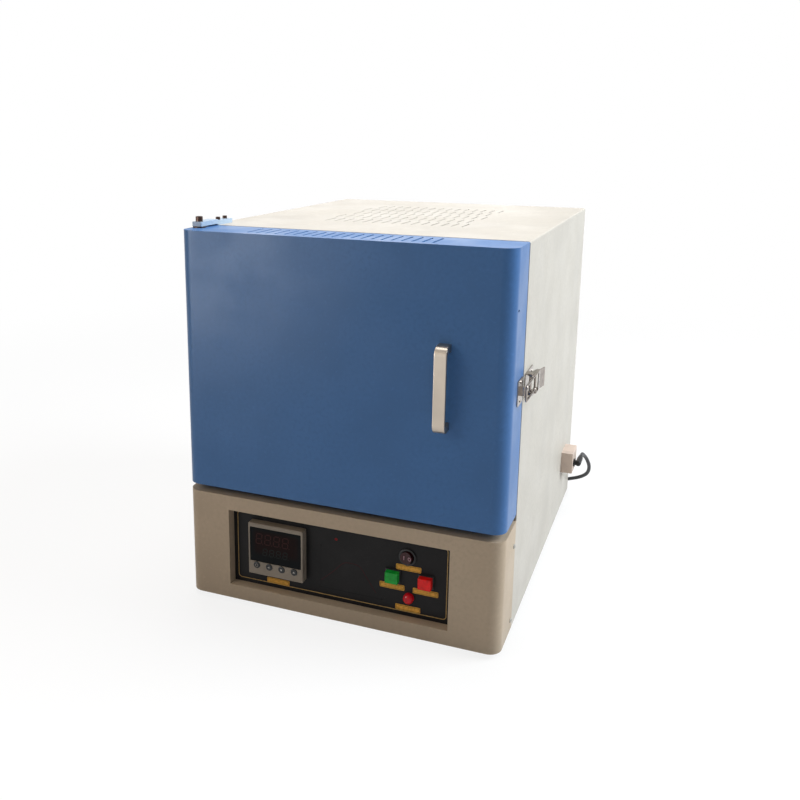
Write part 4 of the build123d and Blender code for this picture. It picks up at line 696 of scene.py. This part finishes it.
BORDER_AT = (-2.0, 89.0)
BORDER_W = 354.0
BORDER_H = 117.0
BORDER_LINE = 1.3
BORDER_CORNER = 6.0
border = [
    rounded_outline(*BORDER_AT, BORDER_W - 2 * inset, BORDER_H - 2 * inset, BORDER_CORNER - inset)
    for inset in (0, BORDER_LINE)
]
add_frame_line("panel_border", *border, PANEL_Y - INK, INK, border_ink, "cabinet")

curve_bends = [(-31, 54.5), (-9, 74.6), (6, 90.0), (18, 93), (34, 90.5), (45, 76), (61.7, 51.7)]


def through(points, steps=8):
    """A smooth line through points."""
    ends = [points[0]] + points + [points[-1]]
    line = []
    for a, b, c, d in zip(ends, ends[1:], ends[2:], ends[3:]):
        for k in range(steps):
            t = k / steps
            line.append(tuple(
                q + 0.5 * (r - p) * t + (p - 2.5 * q + 2 * r - 0.5 * s) * t**2 + 0.5 * (3 * q - p - 3 * r + s) * t**3
                for p, q, r, s in zip(a, b, c, d)
            ))
    return line + [points[-1]]


curve_outline = ribbon_outline(through(curve_bends), 1.0)
add_slabs("heating_curve", [curve_outline], PANEL_Y - INK, INK, curve_ink, "cabinet")
axes = [
    ribbon_outline([(-31, 40), (-31, 113)], 0.7),
    ribbon_outline([(-34, 43), (70, 43)], 0.7),
    [(-32.6, 113), (-29.4, 113), (-31, 117)],
    [(70, 41.4), (74, 43), (70, 44.6)],
]
add_slabs("curve_axes", axes, PANEL_Y - INK, INK, axis_ink, "cabinet")
add_slabs("panel_dot", [rounded_outline(-5.3, 129, 5, 4.4, 2.1)], PANEL_Y - INK, INK, dot_ink, "cabinet")

# Marks on the controller's keys: a ring and three arrows
KEY_FACE_Y = 1.6
KEY_Z = 66.0
KEY_XS = (-137.5, -115.5, -93.5, -71.5)
KEY_MARK = 2.1
for k, key_x in enumerate(KEY_XS):
    body = f"controller_key_{k + 1}"
    if k == 0:
        outer = rounded_outline(key_x, KEY_Z, 5.6, 5.6, 2.79)
        inner = rounded_outline(key_x, KEY_Z, 3.6, 3.6, 1.79)
        add_frame_line("key_mark_1", outer, inner, KEY_FACE_Y - INK, INK, mark_grey, body)
        continue
    turn = math.radians((180, 270, 90)[k - 1])
    corners = []
    for corner in range(3):
        angle = turn + 2 * math.pi * corner / 3
        corners.append((key_x + KEY_MARK * math.cos(angle), KEY_Z + KEY_MARK * math.sin(angle)))
    add_slabs(f"key_mark_{k + 1}", [corners], KEY_FACE_Y - INK, INK, mark_white, body)

# Digits behind the controller's window, unlit: a tall row above a lower one
DISPLAY_Y = 3.6


def digit_segments(x, z, width, height, thick):
    """The seven bars of a digit and its point, as outlines; x and z are its lower left corner."""
    lean = 0.10
    half = height / 2
    gap = thick * 0.22
    bars = []
    for level in (0, half, height):
        bars.append([(gap, level), (width - gap, level)])
    for side in (0, width):
        for low in (0, half):
            bars.append([(side, low + gap), (side, low + half - gap)])
    outlines = []
    for (x0, z0), (x1, z1) in bars:
        dx, dz = (thick / 2, 0) if z0 == z1 else (0, thick / 2)
        ex, ez = (0, thick / 2) if z0 == z1 else (thick / 2, 0)
        corners = [
            (x0, z0), (x0 + dx + ex, z0 + dz + ez), (x1 - dx + ex, z1 - dz + ez),
            (x1, z1), (x1 - dx - ex, z1 - dz - ez), (x0 + dx - ex, z0 + dz - ez),
        ]
        outlines.append([(x + u + lean * w, z + w) for u, w in corners])
    outlines.append(rounded_outline(x + width + 2.6, z, thick, thick, thick * 0.45, 3))
    return outlines


DIGITS = 4
rows = [
    ("digits_measured", -139, 103.5, 9.6, 17.0, 2.0, 15.5, digit_red),
    ("digits_set", -127, 84.5, 7.0, 11.5, 1.5, 11.8, digit_green),
]
for name, first_x, base_z, width, height, thick, pitch, finish in rows:
    outlines = []
    for k in range(DIGITS):
        outlines += digit_segments(first_x + k * pitch, base_z, width, height, thick)
    add_slabs(name, outlines, DISPLAY_Y - 0.05, 0.05, finish, "cabinet")

# Marks on the rocker, laid onto its two faces
rocker_skin = BVHTree.FromObject(nodes["power_rocker"], bpy.context.evaluated_depsgraph_get())


def add_laid_mark(name, rings, node_skin, material, body):
    """A thin mark between an outline and its hole, or in an outline, laid onto a surface from the front."""
    shape = bmesh.new()
    laid = []
    for ring in rings:
        for depth in (-INK, INK):
            verts = []
            for x, z in ring:
                start = at(x, -60, z)
                hit = node_skin.ray_cast(start, Vector((0, 1, 0)))[0]
                verts.append(shape.verts.new(hit + Vector((0, depth * MM, 0))))
            laid.append(verts)
    pairs = ((0, 1), (1, 3), (3, 2), (2, 0)) if len(rings) == 2 else ((0, 1),)
    for first, second in pairs:
        for k in range(len(rings[0])):
            after = (k + 1) % len(rings[0])
            shape.faces.new((laid[first][k], laid[first][after], laid[second][after], laid[second][k]))
    if len(rings) == 1:
        shape.faces.new(laid[0])
        shape.faces.new(laid[1][::-1])
    return add_piece(name, mesh_from(name, shape), material, body)


ROCKER_AT = (112.0, 122.0)
MARK_APART = 4.6
add_laid_mark(
    "rocker_mark_on",
    [rounded_outline(ROCKER_AT[0] - MARK_APART, ROCKER_AT[1], 1.6, 6.4, 0.5)],
    rocker_skin,
    rocker_ink,
    "power_rocker",
)
add_laid_mark(
    "rocker_mark_off",
    [
        rounded_outline(ROCKER_AT[0] + MARK_APART, ROCKER_AT[1], 5.4 - cut, 6.0 - cut, 2.6 - cut / 2)
        for cut in (0, 2.4)
    ],
    rocker_skin,
    rocker_ink,
    "power_rocker",
)

# Heating elements: wire wound round a serpentine, with straight tails
ELEMENT_X = 104.6
ROW_TOP = 450.0
ROW_PITCH = 28.0
ROWS = 6
BEND_FRONT = 154.0
BEND_BACK = 402.0
CHAMBER_BACK = 428.0
TAIL_END = 576.0
WIRE_R = 0.65
WOUND_R = 2.85
WOUND_PITCH = 2.1
WOUND_POINTS = 9
BEND_POINTS = 24
TAIL_R = 2.2


def serpentine():
    """The middle line of a heating element in its plane, as pairs of y and z, close together."""
    line = []
    bend = ROW_PITCH / 2
    for row in range(ROWS):
        z = ROW_TOP - row * ROW_PITCH
        to_front = row % 2 == 0
        start = CHAMBER_BACK if row == 0 else (BEND_BACK if to_front else BEND_FRONT)
        end = BEND_FRONT if to_front else (CHAMBER_BACK if row == ROWS - 1 else BEND_BACK)
        steps = int(abs(end - start) / 2)
        line += [(start + (end - start) * k / steps, z) for k in range(steps)]
        if row == ROWS - 1:
            line.append((end, z))
            continue
        for k in range(BEND_POINTS):
            angle = math.pi * k / BEND_POINTS
            reach = -1 if to_front else 1
            line.append((end + reach * bend * math.sin(angle), z - bend + bend * math.cos(angle)))
    return line


def wound(sign):
    """Points of the wire that is wound along the serpentine on one side."""
    flat = [Vector((y, z)) for y, z in serpentine()]
    lengths = [0.0]
    for before, after in zip(flat, flat[1:]):
        lengths.append(lengths[-1] + (after - before).length)
    count = int(lengths[-1] / WOUND_PITCH * WOUND_POINTS)
    points = []
    k = 0
    for step in range(count + 1):
        place = lengths[-1] * step / count
        while k < len(lengths) - 2 and lengths[k + 1] < place:
            k += 1
        run = flat[k + 1] - flat[k]
        middle = flat[k] + run * ((place - lengths[k]) / (lengths[k + 1] - lengths[k]))
        across = Vector((-run.y, run.x)).normalized()
        angle = 2 * math.pi * step / WOUND_POINTS
        inward = WOUND_R * math.cos(angle)
        beside = middle + across * WOUND_R * math.sin(angle)
        points.append(at(sign * (ELEMENT_X + inward), beside.x, beside.y))
    return points


for side_name, sign in (("left", -1), ("right", 1)):
    node = f"heating_element_{side_name}"
    tails = []
    for z in (ROW_TOP, ROW_TOP - (ROWS - 1) * ROW_PITCH):
        tails.append([at(sign * ELEMENT_X, y, z) for y in (CHAMBER_BACK - 6, 500, TAIL_END)])
    alloy = finishes["element_alloy"]
    coiled = add_tube(f"element_wire_{side_name}", [wound(sign)], WIRE_R * MM, 5, alloy, "cabinet")
    ends = add_tube(f"element_tails_{side_name}", tails, TAIL_R * MM, 12, alloy, "cabinet")
    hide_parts(node)

# Door gasket: a braided band round the plug, crowned where it meets the frame
GASKET_Y = (80.5, 85.7)
GASKET_MIDDLE = 123.0
GASKET_W = 18.0
GASKET_CORNER = 12.0
CHAMBER_Z = 380.0
BRAID = 0.45
BRAID_STEPS = 130
SECTION_POINTS = 22


def add_gasket():
    """The band swept round a rounded square, with the relief of its braid."""
    path = []
    straight = GASKET_MIDDLE - GASKET_CORNER
    for corner, (sx, sz) in enumerate(((1, 1), (-1, 1), (-1, -1), (1, -1))):
        for k in range(9):
            angle = math.radians(90 * corner + 90 * k / 8)
            outward = Vector((math.cos(angle), math.sin(angle)))
            path.append((Vector((sx * straight, sz * straight)) + outward * GASKET_CORNER, outward))
        turned = math.radians(90 * corner + 90)
        outward = Vector((math.cos(turned), math.sin(turned)))
        start = path[-1][0]
        along = Vector((-outward.y, outward.x))
        for k in range(1, BRAID_STEPS):
            path.append((start + along * (2 * straight * k / BRAID_STEPS), outward))
    section = []
    for k in range(SECTION_POINTS):
        angle = 2 * math.pi * k / SECTION_POINTS
        across = math.copysign(abs(math.cos(angle)) ** 0.55, math.cos(angle))
        raised = math.copysign(abs(math.sin(angle)) ** 0.7, math.sin(angle))
        section.append((across, raised, angle))
    thick = (GASKET_Y[1] - GASKET_Y[0]) / 2
    middle_y = sum(GASKET_Y) / 2
    shape = bmesh.new()
    rings = []
    travel = 0.0
    for k, (place, outward) in enumerate(path):
        if k:
            travel += (place - path[k - 1][0]).length
        ring = []
        for across, raised, angle in section:
            weave = math.sin(travel * 1.15 + angle * 3) * math.sin(travel * 1.15 - angle * 3)
            shrink = 1 - BRAID * (0.5 + 0.5 * weave) / thick
            out = place + outward * across * (GASKET_W / 2 - BRAID * (0.5 + 0.5 * weave))
            ring.append(shape.verts.new(at(out.x, middle_y + raised * thick * shrink, CHAMBER_Z + out.y)))
        rings.append(ring)
    for k in range(len(rings)):
        first, second = rings[k - 1], rings[k]
        for s in range(SECTION_POINTS):
            after = (s + 1) % SECTION_POINTS
            shape.faces.new((first[s], first[after], second[after], second[s]))
    mesh = mesh_from("gasket_rope", shape)
    return add_piece("gasket_rope", mesh, finishes["gasket_rope"], "door", smooth=True)


gasket = add_gasket()
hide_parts("door_gasket")


# Floor, backdrop and lights
FLOOR_HALF = 9.0
FADE = (0.75, 2.6)
LEAST_GLOW = 0.82
NEAR_GREY = 0.95
BOUNCE_GREY = 0.45


def add_floor():
    """A pale floor that keeps the object's shadow and turns into the white of the backdrop further off."""
    shape = bmesh.new()
    corners = [(-1, -1), (1, -1), (1, 1), (-1, 1)]
    shape.faces.new([shape.verts.new((x * FLOOR_HALF, y * FLOOR_HALF, 0)) for x, y in corners])
    mesh = mesh_from("floor", shape)
    floor = bpy.data.objects.new("floor", mesh)
    bpy.context.scene.collection.objects.link(floor)
    material = bpy.data.materials.new("floor")
    material.use_nodes = True
    tree = material.node_tree
    tree.nodes.clear()
    output = tree.nodes.new("ShaderNodeOutputMaterial")
    mix = tree.nodes.new("ShaderNodeMixShader")
    seen = tree.nodes.new("ShaderNodeMixShader")
    glow = tree.nodes.new("ShaderNodeEmission")
    near = tree.nodes.new("ShaderNodeBsdfDiffuse")
    bounce = tree.nodes.new("ShaderNodeBsdfDiffuse")
    path = tree.nodes.new("ShaderNodeLightPath")
    place = tree.nodes.new("ShaderNodeTexCoord")
    distance = tree.nodes.new("ShaderNodeVectorMath")
    distance.operation = "LENGTH"
    fade = tree.nodes.new("ShaderNodeMapRange")
    fade.interpolation_type = "SMOOTHSTEP"
    fade.inputs["From Min"].default_value = FADE[0]
    fade.inputs["From Max"].default_value = FADE[1]
    fade.inputs["To Min"].default_value = LEAST_GLOW
    glow.inputs["Strength"].default_value = 1.0
    near.inputs["Color"].default_value = (NEAR_GREY, NEAR_GREY, NEAR_GREY, 1)
    bounce.inputs["Color"].default_value = (BOUNCE_GREY, BOUNCE_GREY, BOUNCE_GREY, 1)
    tree.links.new(place.outputs["Object"], distance.inputs[0])
    tree.links.new(distance.outputs["Value"], fade.inputs["Value"])
    tree.links.new(fade.outputs["Result"], seen.inputs["Fac"])
    tree.links.new(near.outputs[0], seen.inputs[1])
    tree.links.new(glow.outputs[0], seen.inputs[2])
    any_ray = tree.nodes.new("ShaderNodeMath")
    any_ray.operation = "ADD"
    any_ray.use_clamp = True
    tree.links.new(path.outputs["Is Camera Ray"], any_ray.inputs[0])
    tree.links.new(path.outputs["Is Glossy Ray"], any_ray.inputs[1])
    tree.links.new(any_ray.outputs[0], mix.inputs["Fac"])
    tree.links.new(bounce.outputs[0], mix.inputs[1])
    tree.links.new(seen.outputs[0], mix.inputs[2])
    tree.links.new(mix.outputs[0], output.inputs["Surface"])
    mesh.materials.append(material)


def add_world(light, gloss_share):
    """White where the camera or a clear surface looks, greyer in a gloss, and a soft light elsewhere."""
    world = bpy.data.worlds.new("studio")
    bpy.context.scene.world = world
    world.use_nodes = True
    tree = world.node_tree
    background = tree.nodes["Background"]
    background.inputs["Color"].default_value = (1, 1, 1, 1)
    path = tree.nodes.new("ShaderNodeLightPath")
    gloss = tree.nodes.new("ShaderNodeMath")
    gloss.operation = "MULTIPLY"
    gloss.inputs[1].default_value = gloss_share
    tree.links.new(path.outputs["Is Glossy Ray"], gloss.inputs[0])
    total = gloss.outputs[0]
    for ray in ("Is Camera Ray", "Is Transmission Ray"):
        both = tree.nodes.new("ShaderNodeMath")
        both.operation = "MAXIMUM"
        tree.links.new(total, both.inputs[0])
        tree.links.new(path.outputs[ray], both.inputs[1])
        total = both.outputs[0]
    level = tree.nodes.new("ShaderNodeMapRange")
    level.inputs["To Min"].default_value = light
    level.inputs["To Max"].default_value = 1.0
    tree.links.new(total, level.inputs["Value"])
    tree.links.new(level.outputs["Result"], background.inputs["Strength"])


def add_light(name, place, target, size, power, colour=(1, 1, 1)):
    """A soft square lamp at a place in metres, aimed at a target."""
    data = bpy.data.lights.new(name, "AREA")
    data.shape = "SQUARE"
    data.size = size
    data.energy = power
    data.color = colour
    lamp = bpy.data.objects.new(name, data)
    bpy.context.scene.collection.objects.link(lamp)
    lamp.location = place
    lamp.rotation_euler = (Vector(target) - Vector(place)).to_track_quat("-Z", "Y").to_euler()
    return lamp


add_floor()
add_world(0.22, 0.45)
MIDDLE = (0.0, 0.0, 0.3)
add_light("key", (2.5, 0.7, 2.1), MIDDLE, 1.8, 110, (0.89, 0.955, 1.0))
add_light("top", (-0.2, 0.2, 3.2), MIDDLE, 1.6, 60, (1.0, 0.97, 0.945))
add_light("fill", (-1.1, -1.7, 1.4), MIDDLE, 0.9, 7, (1.0, 0.84, 0.66))
# Two lamps that only show in the paint's gloss
sheen = add_light("sheen", (-1.16, -1.56, 0.55), MIDDLE, 0.9, 22)
backdrop = add_light("backdrop", (-0.95, 2.4, 1.0), (0.0, 0.0, 0.6), 1.5, 7)
for lamp in (sheen, backdrop):
    lamp.visible_diffuse = False
    lamp.visible_camera = False

bpy.context.scene.view_settings.view_transform = "Standard"
